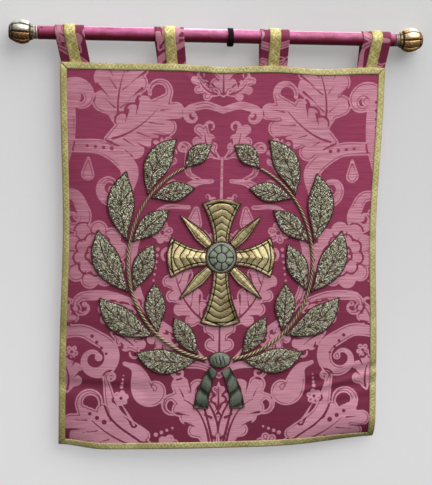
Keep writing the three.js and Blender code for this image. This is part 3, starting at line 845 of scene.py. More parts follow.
# twisted cord: a painted highlight on the strands' backs and painted shade between them
def cordShade(name, light, dark, shine):
    shade = newPaint(name, Specular_IOR_Level=0.4)
    place = shade.place()
    ply = shade.held("ply")
    fray = shade.noise(place, 800.0, 2.0)
    # painted light and shade by the strand's crest, with a fine fray
    shade.put(Base_Color=shade.mix((ply * 0.5 + fray * 0.7).step(0.1, 0.9), dark, light), Metallic=shine,
              Roughness=0.55 + (fray - 0.5) * 0.3, Normal=shade.bump(fray, 0.0002, 0.5))
    return shade.owner


# satin wound over wood: fine threads round the rod, a soft gloss and faint stains; painted shade deepens
# its lower side and both ends, and a painted highlight lies pale along the top of its middle
def satinShade(name, light, dark, low, crown):
    shade = newPaint(name, Sheen_Weight=0.36, Sheen_Roughness=0.35, Specular_IOR_Level=0.45,
                     Coat_Weight=0.14, Coat_Roughness=0.42)
    flat = shade.weave()
    place = shade.place()
    threads = shade.noise(shade.stretch(flat, (1.1, 0.06, 1.0)), 1.0, 3.0, 0.6)
    stains = shade.noise(shade.stretch(place, (42.0, 90.0, 90.0)), 1.0, 4.0, 0.6)
    patches = shade.noise(shade.stretch(place, (7.0, 9.0, 9.0)), 1.0, 2.0)
    along, _, up = shade.axes(place)
    # stains and threads, less painted shade towards both ends of the rod
    stainsAndEndShade = threads * 0.4 + stains * 0.9 + patches * 0.6 - along.step(0.06, 0.24) * 0.25
    stainsAndEndShade = stainsAndEndShade - along.step(-0.27, -0.315) * 0.45
    colour = shade.mix(stainsAndEndShade.step(0.66, 1.16), dark, light)
    # painted shade: the lower side of the rod darker
    colour = shade.mix((up + (stains - 0.5) * 0.006).step(-0.007, 0.0105), low, colour)
    # painted highlight: pale along the top, kept to a stretch of the middle
    worn = (up + (stains - 0.5) * 0.008 + (patches - 0.5) * 0.006).step(0.0068, 0.0118)
    highlightSpan = along.step(-0.12, -0.085) * (1 - along.step(-0.02, 0.02))
    colour = shade.mix(worn * (highlightSpan * 0.6 + 0.08), colour, crown)
    shade.put(Base_Color=colour, Roughness=0.4 + (threads - 0.5) * 0.16 + (stains - 0.5) * 0.3,
              Normal=shade.bump(threads * 0.6 + stains * 1.5, 0.0004, 0.5))
    return shade.owner


# carved and gilt wood: rubbed pale on the high parts, with a painted highlight on its upper side and
# browner painted shade below, and dirt and painted shade dark in the grooves
def giltShade(name, bright, middle, deep, undersideShade, shine):
    shade = newPaint(name, Specular_IOR_Level=0.5)
    place = shade.place()
    hollow = shade.held("hollow")
    patches = shade.noise(place, 34.0, 4.0)
    specks = shade.noise(place, 240.0, 3.0)
    # painted light: the upper side paler
    paintedTopLight = shade.axes(place)[2].step(-0.014, 0.016)
    # wear on the high parts, with the painted highlight on the upper side
    wearAndTopLight = (patches * 0.9 + specks * 0.35 - hollow * 0.5 + paintedTopLight * 0.3 - 0.2).step(0.45, 0.85)
    colour = shade.mix(wearAndTopLight, middle, bright)
    # painted shade: browner on the lower side
    colour = shade.mix((1 - paintedTopLight + (patches - 0.5) * 0.6).step(0.35, 0.8) * 0.75, colour, undersideShade)
    # dirt specks and painted shade in the grooves and hollows
    dirtAndGrooveShade = (hollow * 1.1 + (specks - 0.5) * 0.7 + (0.5 - patches) * 0.5).step(0.35, 0.85)
    colour = shade.mix(dirtAndGrooveShade, colour, deep)
    shade.put(Base_Color=colour, Metallic=shine - dirtAndGrooveShade * 0.4,
              Roughness=0.4 + dirtAndGrooveShade * 0.26 + (specks - 0.5) * 0.2,
              Normal=shade.bump(specks * 0.6 + patches * 0.6, 0.0006, 0.45))
    return shade.owner


# ribbed webbing: two tones by a fine fuzz and by the ribs of its weave
def webbingShade(name, light, dark):
    shade = newPaint(name, Specular_IOR_Level=0.12, Sheen_Weight=0.01)
    across, along, _ = shade.axes(shade.weave())
    ribs = (along * 5.0).sine() * 0.5 + (across * 3.4).sine() * 0.5
    fuzz = shade.noise(shade.place(), 500.0, 2.0)
    shade.put(Base_Color=shade.mix((fuzz + ribs * 0.2).step(0.3, 0.8), dark, light),
              Roughness=0.7 + fuzz * 0.15, Normal=shade.bump(ribs + fuzz * 0.5, 0.0003, 0.6))
    return shade.owner


# matt paint with a fine grain; a glow, mixed from four corners, also gives light and clears its back
def wallShade(name, light, dark, glow):
    shade = newPaint(name, Roughness=0.95, Specular_IOR_Level=0.1)
    place = shade.place()
    grain = shade.noise(place, 3.0, 3.0) * 0.6 + shade.noise(place, 160.0, 2.0) * 0.4
    colour = shade.mix(grain.step(0.3, 0.7), dark, light)
    shade.put(Base_Color=colour, Normal=shade.bump(grain, 0.0004, 0.2))
    if glow:
        along, _, height = shade.axes(place)
        along = along.step(-0.42, 0.42)
        low = shade.mix(along, glow[0], glow[1])
        high = shade.mix(along, glow[2], glow[3])
        shade.put(Emission_Color=shade.mix(height.step(-0.85, 0.08), low, high), Emission_Strength=0.55)
        clear = shade.node("ShaderNodeBsdfTransparent")
        backs = shade.node("ShaderNodeNewGeometry", output="Backfacing")
        painted = Value(shade, shade.surface.outputs[0])
        mixed = shade.node("ShaderNodeMixShader", {}, {0: backs, 1: painted, 2: clear})
        shade.fill(shade.tree.nodes["Material Output"].inputs[0], mixed)
    return shade.owner


# in both damasks the third ground tone is also the painted shade low down and on the left, and the third
# figure tone is the paler figure painted low down
damask = damaskShade("damask", (tone(150, 55, 90), tone(132, 41, 74), tone(104, 28, 52)),
                     (tone(164, 94, 113), tone(216, 154, 172), tone(226, 164, 182)), 0.28)
tabDamask = damaskShade("tabDamask", (tone(128, 36, 72), tone(104, 18, 54), tone(86, 12, 40)),
                        (tone(170, 108, 122), tone(200, 138, 152), tone(200, 138, 152)), 0.3)
braidForm = {"borderWide": 12.0, "borderPeriod": 6.0, "tabWide": 20.0, "tabPeriod": 13.0}
borderGold = braidShade("borderGold", braidForm["borderWide"], braidForm["borderPeriod"],
                        tone(228, 220, 160), tone(146, 134, 76), 0.12)
tabGold = braidShade("tabGold", braidForm["tabWide"], braidForm["tabPeriod"],
                     tone(238, 228, 158), tone(150, 132, 66), 0.1)
purl = purlShade("purl", tone(238, 238, 218), tone(186, 184, 156), tone(88, 82, 62), 0.4)
bead = purlShade("bead", tone(240, 238, 220), tone(176, 172, 148), tone(40, 30, 26), 0.5)
purlGround = feltShade("purlGround", tone(132, 126, 100), tone(78, 70, 52))
edgeCord = cordShade("edgeCord", tone(112, 54, 52), tone(36, 12, 16), 0.0)
goldRelief = threadShade("goldRelief", tone(222, 206, 156), tone(124, 99, 56), tone(30, 19, 11), 0.7, 0.4)
darkThread = threadShade("darkThread", tone(132, 140, 122), tone(76, 86, 76), tone(28, 30, 28), 0.4, 0.46)
stemGold = cordShade("stemGold", tone(196, 186, 144), tone(74, 60, 34), 0.4)
# the satin's third tone is the painted shade on its lower side, the fourth its painted highlight on top
satin = satinShade("satin", tone(198, 90, 150), tone(150, 32, 88), tone(96, 0, 28), tone(250, 214, 240))
# the fourth tone of each gilt is its painted shade on the lower side
paleGilt = giltShade("paleGilt", tone(220, 222, 212), tone(140, 128, 104), tone(44, 28, 16),
                     tone(150, 96, 46), 0.78)
warmGilt = giltShade("warmGilt", tone(240, 226, 192), tone(180, 142, 92), tone(48, 28, 14),
                     tone(180, 140, 88), 0.78)
silver = giltShade("silver", tone(204, 198, 190), tone(160, 150, 142), tone(80, 68, 60),
                   tone(150, 138, 130), 0.6)
blackWebbing = webbingShade("blackWebbing", tone(30, 12, 26), tone(7, 2, 6))
print("stage 4: materials")

# the damask panel: a fine front, a back a third as fine, and rim faces that join the two
panelGrid = {"columns": 265, "rows": 316, "every": 3}


# front and back are grids of the drape, the back through the cloth's thickness; each face of the rim
# joins a few front points to two back points
def makePanel(spec):
    across = np.linspace(0, 1, spec["columns"])[None, :]
    down = np.linspace(0, 1, spec["rows"])[:, None] * cutLength(across)
    across = np.broadcast_to(across, down.shape)
    front = drape(across, down, np.zeros(down.shape))
    every = spec["every"]
    backAcross = across[::every, ::every]
    backDown = down[::every, ::every]
    back = drape(backAcross, backDown, np.full(backDown.shape, -panelForm["thick"]))
    rows, columns = front.shape[:2]
    backRows, backColumns = back.shape[:2]
    start = rows * columns
    faces = np.vstack([gridFaces(rows, columns), gridFaces(backRows, backColumns)[:, ::-1] + start])
    ring = edgeRing(rows, columns)
    behind = start + edgeRing(backRows, backColumns)
    ring = np.append(ring, ring[0])
    behind = np.append(behind, behind[0])
    caps = [np.concatenate([ring[k * every:(k + 1) * every + 1], behind[[k + 1, k]]])
            for k in range(len(behind) - 1)]
    flatX = np.concatenate([(across * panelWidth).ravel(), (backAcross * panelWidth).ravel()])
    flatDown = np.concatenate([down.ravel(), backDown.ravel()])
    figureEdge, veinEdge = damaskAt(flatX, flatDown)
    backSide = np.concatenate([np.zeros(start), np.ones(back.shape[0] * back.shape[1])])
    parts = Parts()
    points = np.concatenate([front.reshape(-1, 3), back.reshape(-1, 3)])
    parts.add(points, faces, np.stack([flatX, flatDown], axis=1), 0, caps, figure=figureEdge, vein=veinEdge,
              backSide=backSide)
    return parts.make("clothPanel", [damask])


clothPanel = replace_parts(makePanel(panelGrid), "panel")
print("stage 5: panel")

# border braid: woven strips on the panel's edges, mitred at the corners
borderForm = {"lift": 0.45, "thick": 1.2, "seam": 0.35, "cell": 1.9, "columns": 10, "pucker": 0.25}


# a braid's relief over the share v of its width: a rounded middle, and bars where v meets a zig-zag
def braidRelief(v, along, period, barHalf, power):
    wave = np.abs(along / period % 1 * 2 - 1)
    bars = np.clip(1 - np.abs(np.abs(v * 2 - 1) - wave) / barHalf, 0, 1)
    return np.clip(1 - np.abs(2 * v - 1)**power, 0, 1), bars


# a strip's point: inset from the edge by v of its width, along by u between its mitres; it is thickest
# in the middle, its lozenge threads stand up a little, and it thins at the mitres
def makeBorder(name, node, edge):
    spec = borderForm
    wide = braidForm["borderWide"]
    long = panelWidth if edge in ("top", "bottom") else panelForm["length"]
    steps = int(long / spec["cell"])
    u = np.linspace(0, 1, steps + 1)
    u = np.concatenate([[0, 0.0008, 0.0016], u[1:-1], [0.9984, 0.9992, 1]])[:, None]
    v = np.linspace(0, 1, spec["columns"])[None, :]
    inset = v * wide
    if edge in ("top", "bottom"):
        across = lerp(inset + spec["seam"], panelWidth - inset - spec["seam"], u) / panelWidth
        down = inset + 0 * u if edge == "top" else cutLength(across) - inset
        along = across * panelWidth
    else:
        across = (inset if edge == "left" else panelWidth - inset) / panelWidth + 0 * u
        down = lerp(inset + spec["seam"], cutLength(across) - inset - spec["seam"], u)
        along = down
    across, down, along = np.broadcast_arrays(across, down, along)
    rounded, bars = braidRelief(v, along, braidForm["borderPeriod"], 0.22, 4)
    pucker = spec["pucker"] * smoothNoise(along, along * 0 + 40 * len(edge), 23.0, 5)
    mitre = ease(0, 2.2, np.minimum(u, 1 - u) * (long - 2 * inset))
    rise = (0.5 + (spec["thick"] - 0.5) * rounded + 0.3 * bars + pucker * rounded) * lerp(0.25, 1, mitre)
    front = drape(across, down, spec["lift"] + rise)
    back = drape(across, down, np.full(across.shape, spec["lift"]))
    uv = np.stack(np.broadcast_arrays(inset, along), axis=-1)
    parts = Parts()
    addBody(parts, front, back, uv)
    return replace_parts(parts.make(name, [borderGold]), node)


borders = [makeBorder("braid" + edge.capitalize(), "braid_" + edge, edge)
           for edge in ("top", "bottom", "left", "right")]
print("stage 6: border braid")

# hanging tabs and their braids
tabForm = {"width": 51.0, "thick": 1.6, "frontY": 1.5, "backY": 3.45, "joinZ": -48.0, "footZ": -68.5,
           "radius": 13.731, "columns": 31, "ripple": 0.16, "rippleMost": 0.12, "braidLift": 1.15,
           "braidThick": 1.2, "braidColumns": 15, "cell": 1.8}
# places of foot and head along the rod, a shift of both, where in the damask it is cut, ripple's slant
tabRows = [{"foot": tabFeet[0], "head": -286.5, "shift": 2.0, "cut": (402, 432), "skew": 1.4},
           {"foot": tabFeet[1], "head": -109.0, "shift": -0.5, "cut": (186, 426), "skew": -1.0},
           {"foot": tabFeet[2], "head": 78.6, "shift": 0.8, "cut": (264, 18), "skew": 1.2},
           {"foot": tabFeet[3], "head": 263.7, "shift": 0.5, "cut": (252, 138), "skew": -1.4}]


# the tab's middle line from the side: up the front foot, on the tangent to the rod, over it, down behind
def tabLine(spec):
    r = spec["radius"]
    frontReach = math.hypot(spec["frontY"], spec["joinZ"])
    backReach = math.hypot(spec["backY"], spec["joinZ"])
    frontTurn = math.atan2(spec["joinZ"], spec["frontY"]) - math.acos(r / frontReach) + 2 * math.pi
    backTurn = math.atan2(spec["joinZ"], spec["backY"]) + math.acos(r / backReach)
    turns = np.linspace(frontTurn, backTurn, 60)
    arc = np.stack([r * np.cos(turns), r * np.sin(turns)], axis=1)
    line = np.vstack([[spec["frontY"], spec["footZ"]], [spec["frontY"], spec["joinZ"]], arc,
                      [spec["backY"], spec["joinZ"]], [spec["backY"], spec["footZ"]]])
    line = evenly(line, spec["cell"])
    for _ in range(2):
        line[1:-1] = (line[:-2] + 2 * line[1:-1] + line[2:]) / 4
    ahead = unit(np.gradient(line, axis=0))
    return line, np.stack([-ahead[:, 1], ahead[:, 0]], axis=1)


# a strip along the tab's line, moved out by offset along the line's normal; it leans from foot to head
def tabPoints(row, wide, columns, offset):
    spec = tabForm
    line, normals = tabLine(spec)
    v = np.linspace(-0.5, 0.5, columns)[None, :]
    rise = np.clip(1 - line[:, 1] / spec["joinZ"], 0, 1)[:, None]
    x = lerp(row["foot"], row["head"], rise) + row["shift"] + v * wide
    offset = np.broadcast_to(offset, x.shape)
    y = line[:, 0, None] + offset * normals[:, 0, None]
    z = line[:, 1, None] + offset * normals[:, 1, None]
    return np.stack([x, y, z], axis=-1)


# a tab is a strip with ripples that grow towards its edges; its braid is a narrower strip in relief
def makeTab(index, row):
    spec = tabForm
    line, _ = tabLine(spec)
    run = runLength(line)[:, None]
    v = np.linspace(-0.5, 0.5, spec["columns"])[None, :]
    free = np.sin(np.pi * np.clip(run / run[-1], 0, 1))
    ripple = spec["ripple"] * np.abs(v * 2) * np.sin(run / 5.5 + row["skew"] * v * 6) * free
    lift = spec["thick"] / 2 + np.minimum(ripple, spec["rippleMost"])
    front = tabPoints(row, spec["width"], spec["columns"], lift)
    back = tabPoints(row, spec["width"], spec["columns"], -spec["thick"] / 2)
    flatX = row["cut"][0] + v * spec["width"] + 0 * run
    flatDown = row["cut"][1] + run + 0 * v
    figureEdge, veinEdge = damaskAt(flatX, flatDown)
    parts = Parts()
    addBody(parts, front, back, np.stack([flatX, flatDown], axis=-1), figure=figureEdge, vein=veinEdge,
            backSide=np.zeros(flatX.shape))
    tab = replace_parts(parts.make(f"tab{index}", [tabDamask]), f"tab_{index}")
    wide = braidForm["tabWide"]
    v = np.linspace(0, 1, spec["braidColumns"])[None, :]
    rounded, bars = braidRelief(v, run, braidForm["tabPeriod"], 0.2, 5)
    lift = spec["braidLift"] + 0.5 + (spec["braidThick"] - 0.5) * rounded + 0.3 * bars
    front = tabPoints(row, wide, spec["braidColumns"], lift)
    back = tabPoints(row, wide, spec["braidColumns"], spec["braidLift"])
    parts = Parts()
    addBody(parts, front, back, np.stack(np.broadcast_arrays(v * wide, run), axis=-1))
    piece = parts.make(f"tabBraid{index}", [tabGold])
    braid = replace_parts(piece, f"tab_braid_{index}")
    return tab, braid, float(run[-1, 0])


for index, row in enumerate(tabRows, 1):
    tab, tabBraid, tabLength = makeTab(index, row)
    tabLength / 1000
print("stage 7: tabs")

# rod, collars, finials, tack and band
rodForm = {"radius": 12.5, "from": -340.0, "to": 300.0, "sides": 56, "rings": 320, "room": 0.35,
           "eased": 1.2}
# wrinkles of the satin: place along the rod, slant in mm a turn, half width and height
rodFolds = [(-318, 9, 2.2, 0.28), (-246, -7, 2.6, 0.22), (-214, 6, 2.0, 0.2), (-171, 9, 2.8, 0.24),
            (-138, -5, 2.2, 0.18), (-66, 8, 2.6, 0.26), (-31, -6, 2.0, 0.2), (24, 7, 2.4, 0.22),
            (46, -9, 2.4, 0.18), (128, 8, 2.6, 0.24), (169, -6, 2.2, 0.2), (214, 7, 2.6, 0.24),
            (291, 5, 2.0, 0.2)]


# a rod about X: its radius eased at the ends, with slanting folds and slow unevenness
def makeRod(spec):
    x = np.linspace(spec["from"], spec["to"], spec["rings"])[:, None]
    turn = np.linspace(0, 2 * np.pi, spec["sides"], endpoint=False)[None, :]
    swing = np.sin(turn / 2)
    radius = spec["radius"] - spec["room"] + 0.0 * turn
    for gone in (x - spec["from"], spec["to"] - x):
        radius = radius - spec["eased"] * np.exp(-gone / 0.8)
    radius = radius + 0.14 * smoothNoise(x, 11 * np.cos(turn), 13.0, 8)
    radius = radius + 0.06 * smoothNoise(x, 9 * turn, 5.0, 2)
    for at, slant, wide, tall in rodFolds:
        radius = radius + tall * np.exp(-((x - at - slant * np.cos(turn)) / wide)**2) * swing**2
    uv = np.stack(np.broadcast_arrays(x, np.degrees(turn) * 0.2), axis=-1)
    parts = Parts()
    addTube(parts, turned(x, radius, turn), uv=uv)
    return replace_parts(parts.make("rodCover", [satin]), "rod")


makeRod(rodForm)

finialForm = {"ball": 23.4, "middle": 21.0, "length": 42.0, "neck": 14.5, "neckLong": 8.0, "button": 7.0,
              "lobes": 8, "least": 0.9, "groove": 0.17, "carved": 1.7, "worn": 0.16, "sides": 144,
              "stand": 7.7}


# a finial about X: a ball's circle between neck and button, cut by narrow grooves between its swelling
# lobes, which differ in size; the lower lobes are carved with shallow leaf ridges and worn away at
# their outer ends, and hollows ring neck and button
def makeFinial(name, node, root, way, seed, carving, gilt):
    spec = finialForm
    length = spec["length"]
    local = np.concatenate([[0, 0.4], np.linspace(1.2, length - 1.2, 70), [length - 0.4, length]])[:, None]
    turn = np.linspace(0, 2 * np.pi, spec["sides"], endpoint=False)[None, :]
    beyond = local - spec["middle"]
    ball = np.sqrt(np.maximum(spec["ball"]**2 - (beyond * 1.02)**2, 0))
    profile = np.maximum(ball, np.where(local < spec["neckLong"], spec["neck"], spec["button"]))
    swell = np.clip((profile - 9) / (spec["ball"] - 9), 0, 1)
    phase = spec["lobes"] * turn / (2 * np.pi) + 0.10 * np.sin(beyond / 17)
    within = np.abs(phase % 1 * 2 - 1)
    number = np.floor(phase).astype(int) % spec["lobes"]
    size = np.random.default_rng(seed).uniform(spec["least"], 1.0, spec["lobes"])[number]
    crease = np.exp(-((1 - within) / 0.15)**2)
    carved = 0.5 + 0.5 * np.cos(2 * np.pi * (local / 7.0 + within * 0.7))
    carved = carving * carved**3 * np.clip(1 - within, 0, 1) * np.isin(number, (0, 4, 5, 6))
    rings = np.exp(-((local - 5.2) / 1.0)**2) + np.exp(-((local - 35.8) / 0.8)**2)
    beads = np.exp(-((local - 7.6) / 1.3)**2) * (0.5 + 0.5 * np.cos(24 * turn))
    radius = profile * lerp(1, size * (1 - 0.08 * within**2) - spec["groove"] * crease, swell)
    radius = radius - spec["carved"] * carved * swell - 1.1 * rings + 0.5 * beads
    radius = radius * (1 - spec["worn"] * ease(14, 38, local) * np.clip(-np.sin(turn), 0, 1) * swell)
    radius = radius - 0.2 + 0.2 * smoothNoise(local + 0 * turn, 24 * turn, 4.0, seed)
    radius = np.where((local <= 0) | (local >= length), radius - 0.8, radius)
    # hollows: where dirt and painted shade darken the gilt
    hollow = np.clip(crease * swell + carved * 0.8 + rings * 0.8 + 0.8 * (1 - swell), 0, 1)
    parts = Parts()
    addTube(parts, turned(root + way * local, radius, turn), hollow=hollow)
    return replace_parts(parts.make(name, [gilt]), node)


makeFinial("finialLeft", "finial_left", rodForm["from"] - finialForm["stand"], -1, 3, 1.0, paleGilt)
makeFinial("finialRight", "finial_right", rodForm["to"] + finialForm["stand"], 1, 9, 0.45, warmGilt)

collarForm = {"long": 7.0, "waist": 11.2, "rim": 0.9, "end": 10.6, "stand": 0.35, "rings": 29, "sides": 72}


# a collar about X: a waist between two rolled rims, each a bell of the place along it, finely milled
def makeCollar(name, node, root, way):
    spec = collarForm
    local = np.linspace(0, spec["long"], spec["rings"])[:, None]
    turn = np.linspace(0, 2 * np.pi, spec["sides"], endpoint=False)[None, :]
    rims = np.exp(-((local - 1.3) / 0.9)**2) + np.exp(-((local - 5.7) / 0.9)**2)
    radius = spec["waist"] + spec["rim"] * rims + 0.1 * np.cos(36 * turn) * rims
    radius = np.where((local <= 0) | (local >= spec["long"]), spec["end"], radius)
    parts = Parts()
    # the waist between the rims takes painted shade
    waist = np.clip(1 - rims, 0, 1) + 0 * turn
    addTube(parts, turned(root + way * local, radius, turn), hollow=waist * 0.7)
    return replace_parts(parts.make(name, [silver]), node)


makeCollar("collarLeft", "collar_left", rodForm["from"] - collarForm["stand"], -1)
makeCollar("collarRight", "collar_right", rodForm["to"] + collarForm["stand"], 1)

tackForm = {"at": -332.7, "up": 8.6, "half": 2.1, "root": 12.0, "tall": 1.2, "rings": 8, "sides": 16}


# the tack: a low round head on the rod's front, its height a half circle's over its radius
def makeTack(spec):
    share = np.linspace(1, 0.02, spec["rings"])[:, None]
    turn = np.linspace(0, 2 * np.pi, spec["sides"], endpoint=False)[None, :]
    tilt = math.pi - math.asin(spec["up"] / rodForm["radius"])
    out = np.array([0, math.cos(tilt), math.sin(tilt)])
    side = np.array([1.0, 0, 0])
    rise = np.cross(side, out)
    height = spec["root"] + spec["tall"] * np.sqrt(1 - share**2) + 0 * turn
    disc = (share * np.cos(turn))[..., None] * side + (share * np.sin(turn))[..., None] * rise
    points = np.array([spec["at"], 0, 0]) + height[..., None] * out + spec["half"] * disc
    parts = Parts()
    addTube(parts, points, hollow=np.full(height.shape, 1.0))
    return parts.make("tack", [paleGilt])


makeTack(tackForm)

bandForm = {"width": 9.6, "thick": 1.9, "inner": 14.6, "drop": 1.7, "square": 0.45, "sides": 120,
            "section": 24}


# a closed band about X: a rounded strip's section carried round a ring that hangs below the rod's middle
def makeBand(spec):
    turn = np.linspace(0, 2 * np.pi, spec["sides"], endpoint=False)[:, None]
    section = np.linspace(0, 2 * np.pi, spec["section"], endpoint=False)[None, :]
    wide, out = (np.sign(c) * np.abs(c)**spec["square"] for c in (np.cos(section), np.sin(section)))
    wide = spec["width"] / 2 * wide
    radius = spec["inner"] + spec["thick"] / 2 * (1 + out)
    x = wide * 0.98 + 0.35 * np.sin(turn * 2 + 0.6)
    points = turned(x, radius, turn) - np.array([0, 0, spec["drop"]])
    uv = np.stack(np.broadcast_arrays(wide, turn * spec["inner"]), axis=-1)
    parts = Parts()
    addTube(parts, points, True, uv=uv)
    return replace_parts(parts.make("hangingBand", [blackWebbing]), "band")


makeBand(bandForm)
print("stage 8: rod, finials, collars, tack, band")

# the emblem, in millimetres right and up from its middle on the panel
emblemForm = {"across": 291.0, "down": 350.0, "gap": 0.45}


# a place right and up from the emblem's middle as a share across the panel and a length down it
def fromMiddle(right, up):
    across = (emblemForm["across"] + np.asarray(right, float)) / panelWidth
    return across, emblemForm["down"] - np.asarray(up, float)


# a point of the emblem, lifted off the hung cloth
def onCloth(right, up, lift):
    return drape(*fromMiddle(right, up), emblemForm["gap"] + np.asarray(lift, float))


# the way the hung cloth faces there
def clothNormal(right, up):
    return facing(*fromMiddle(right, up))


# a closed cord laid on the cloth round a line of right and up, a little above it
def layCord(parts, line, radius, lift, pitch=5.0, step=1.35):
    line = evenly(np.vstack([line, line[:1]]), step)[:-1]
    path = onCloth(line[:, 0], line[:, 1], radius + lift)
    addCord(parts, path, clothNormal(line[:, 0], line[:, 1]), radius, pitch, 8, True)


# a padded piece's outline: out along one edge, across its end and back along the other
def outline(place, steps, across=0):
    u = np.linspace(0, 1, steps)
    v = np.linspace(1, -1, across + 2)[1:-1]
    edges = (place(u, np.ones(steps)), place(np.ones(across), v), place(u[::-1], -np.ones(steps)))
    return np.concatenate([np.stack(edge, axis=1) for edge in edges])


# a padded piece: a grid of places with a height over the cloth, closed below; its weave map is the
# length along and across it
def addPad(parts, place, height, rows, columns, **values):
    u = np.linspace(0, 1, rows)[:, None]
    v = np.linspace(-1, 1, columns)[None, :]
    right, up = place(u, v)
    lift = height(u, v)
    front = onCloth(right, up, lift)
    back = onCloth(right, up, np.zeros(lift.shape))
    steps = [[np.diff(way, axis=k, prepend=np.take(way, [0], k)) for way in (right, up)] for k in (0, 1)]
    run, wide = (np.cumsum(np.hypot(*steps[k]), axis=k) for k in (0, 1))
    uv = np.stack([wide - wide[:, -1:] / 2, run], axis=-1)
    held = {key: np.broadcast_to(value(u, v), lift.shape) for key, value in values.items()}
    addBody(parts, front, back, uv, **held)


leafForm = {"crown": 5.6, "edge": 1.4, "tip": 1.6, "outerTurn": 0.72, "innerTurn": 0.16, "clear": 5.4,
            "purlLong": 4.0, "purlHalf": 0.74, "perSquare": 0.145, "rows": 35, "columns": 15,
            "edgeCord": 1.6, "ribCord": 1.1, "ribPitch": 4.6, "barbs": (0.16, 0.34, 0.52), "bead": 1.5,
            "beadStep": 6.4, "beadRow": 0.8, "endLong": 62, "endWide": 32, "endTurn": 0.42,
            "endSpread": 0.5}
wreathForm = {"halfWidth": 172.0, "halfHeight": 182.0, "start": 0.14, "end": 2.72, "rope": 3.1,
              "pitch": 8.0}
# one row a pair: place on the branch, then length, width and spread of the outer and of the inner leaf
pairRows = [{"at": 0.25, "outer": (112, 44, 0.5), "inner": (80, 34, 0.66)},
            {"at": 0.76, "outer": (122, 47, 0.55), "inner": (86, 37, 0.62)},
            {"at": 1.27, "outer": (126, 48, 0.56), "inner": (88, 38, 0.6)},
            {"at": 1.77, "outer": (124, 48, 0.56), "inner": (86, 37, 0.6)},
            {"at": 2.27, "outer": (112, 45, 0.55), "inner": (78, 34, 0.6)}]


# a leaf: its middle line is an arc that turns from its heading, its half width swells and closes to a tip
def leafPlace(leaf, side):
    def place(u, v):
        heading = leaf["heading"] + leaf["turn"] * u
        radius = leaf["long"] / leaf["turn"]
        alongX = leaf["base"][0] + radius * (np.sin(heading) - math.sin(leaf["heading"]))
        alongY = leaf["base"][1] - radius * (np.cos(heading) - math.cos(leaf["heading"]))
        half = np.maximum(leafForm["tip"], leaf["wide"] / 2 * np.sin(np.pi * u**1.12)**1.02) * v
        return side * (alongX - half * np.sin(heading)), alongY + half * np.cos(heading)
    return place


# rounded across and along, with a furrow along the midrib
def leafHeight(u, v):
    full = np.clip(1 - v**2, 0, 1)**0.7 * np.clip(np.sin(np.pi * np.clip(u, 0, 1)), 0, 1)**0.6
    furrow = 0.9 * np.exp(-(v / 0.13)**2) * np.sin(np.pi * np.clip(u, 0, 1))
    return leafForm["edge"] - 0.5 + (leafForm["crown"] - leafForm["edge"] - 0.6) * full - furrow


# purl: short four-sided coils strewn over a leaf, lying on its surface along the barbs of each half
def addPurl(parts, place, leaf, slot):
    amount = int(leaf["long"] * leaf["wide"] * leafForm["perSquare"])
    u = dice.uniform(0.03, 0.985, amount * 2)
    v = dice.uniform(-0.97, 0.97, amount * 2)
    kept = dice.uniform(0, 1, amount * 2) < np.maximum(0.12, np.sin(np.pi * u**1.12))
    u = u[kept]
    v = v[kept]

    def surface(us, vs):
        right, up = place(us, vs)
        return onCloth(right, up, leafHeight(us, vs))
    middle = surface(u, v)
    along = unit(surface(u + 0.004, v) - middle)
    beside = unit(surface(u, v + 0.01) - middle)
    normal = unit(np.cross(along, beside))
    normal = np.where(normal[:, 1:2] > 0, -normal, normal)
    beside = np.cross(normal, along)
    barb = np.sign(v) * np.where(np.sum(beside * (surface(u, v + 0.01) - middle), axis=1) < 0, -1, 1)
    lean = barb * 0.6 + dice.normal(0, 0.42, len(u))
    axis = unit(along * np.cos(lean)[:, None] + beside * np.sin(lean)[:, None]
                + normal * dice.normal(0, 0.14, len(u))[:, None])
    side = unit(np.cross(axis, normal))
    top = np.cross(side, axis)
    long = leafForm["purlLong"] * dice.uniform(0.7, 1.2, len(u))
    half = leafForm["purlHalf"] * dice.uniform(0.85, 1.15, len(u))
    middle = middle + normal * (half * 0.75 + dice.uniform(0, 0.7, len(u)))[:, None]
    turn = (np.arange(4) + 0.5) / 4 * 2 * np.pi
    ring = half[:, None, None] * (np.cos(turn)[None, :, None] * side[:, None, :]
                                  + np.sin(turn)[None, :, None] * top[:, None, :])
    ends = axis * long[:, None] / 2
    points = np.stack([middle[:, None, :] - ends[:, None, :] + ring * 0.8,
                       middle[:, None, :] + ends[:, None, :] + ring * 0.8], axis=1)
    first = np.arange(len(u))[:, None] * 8
    c = np.arange(4)[None, :]
    n = (c + 1) % 4
    faces = np.stack([first + c, first + 4 + c, first + 4 + n, first + n], axis=-1).reshape(-1, 4)
    way = np.cross(points[:, 1, 0] - points[:, 0, 0], points[:, 0, 1] - points[:, 0, 0])
    if np.sum(way * ring[:, 0]) < 0:
        faces = faces[:, ::-1]
    tint = np.repeat(np.clip(dice.beta(2.2, 1.8, len(u)), 0, 1), 8)
    uv = np.zeros((len(u), 2, 4, 2))
    uv[:, 1, :, 1] = long[:, None]
    ends = np.concatenate([first + np.arange(4), first + 7 - np.arange(4)])
    parts.add(points, faces, uv, slot, list(ends if faces[0, 1] == 4 else ends[:, ::-1]), tint=tint)


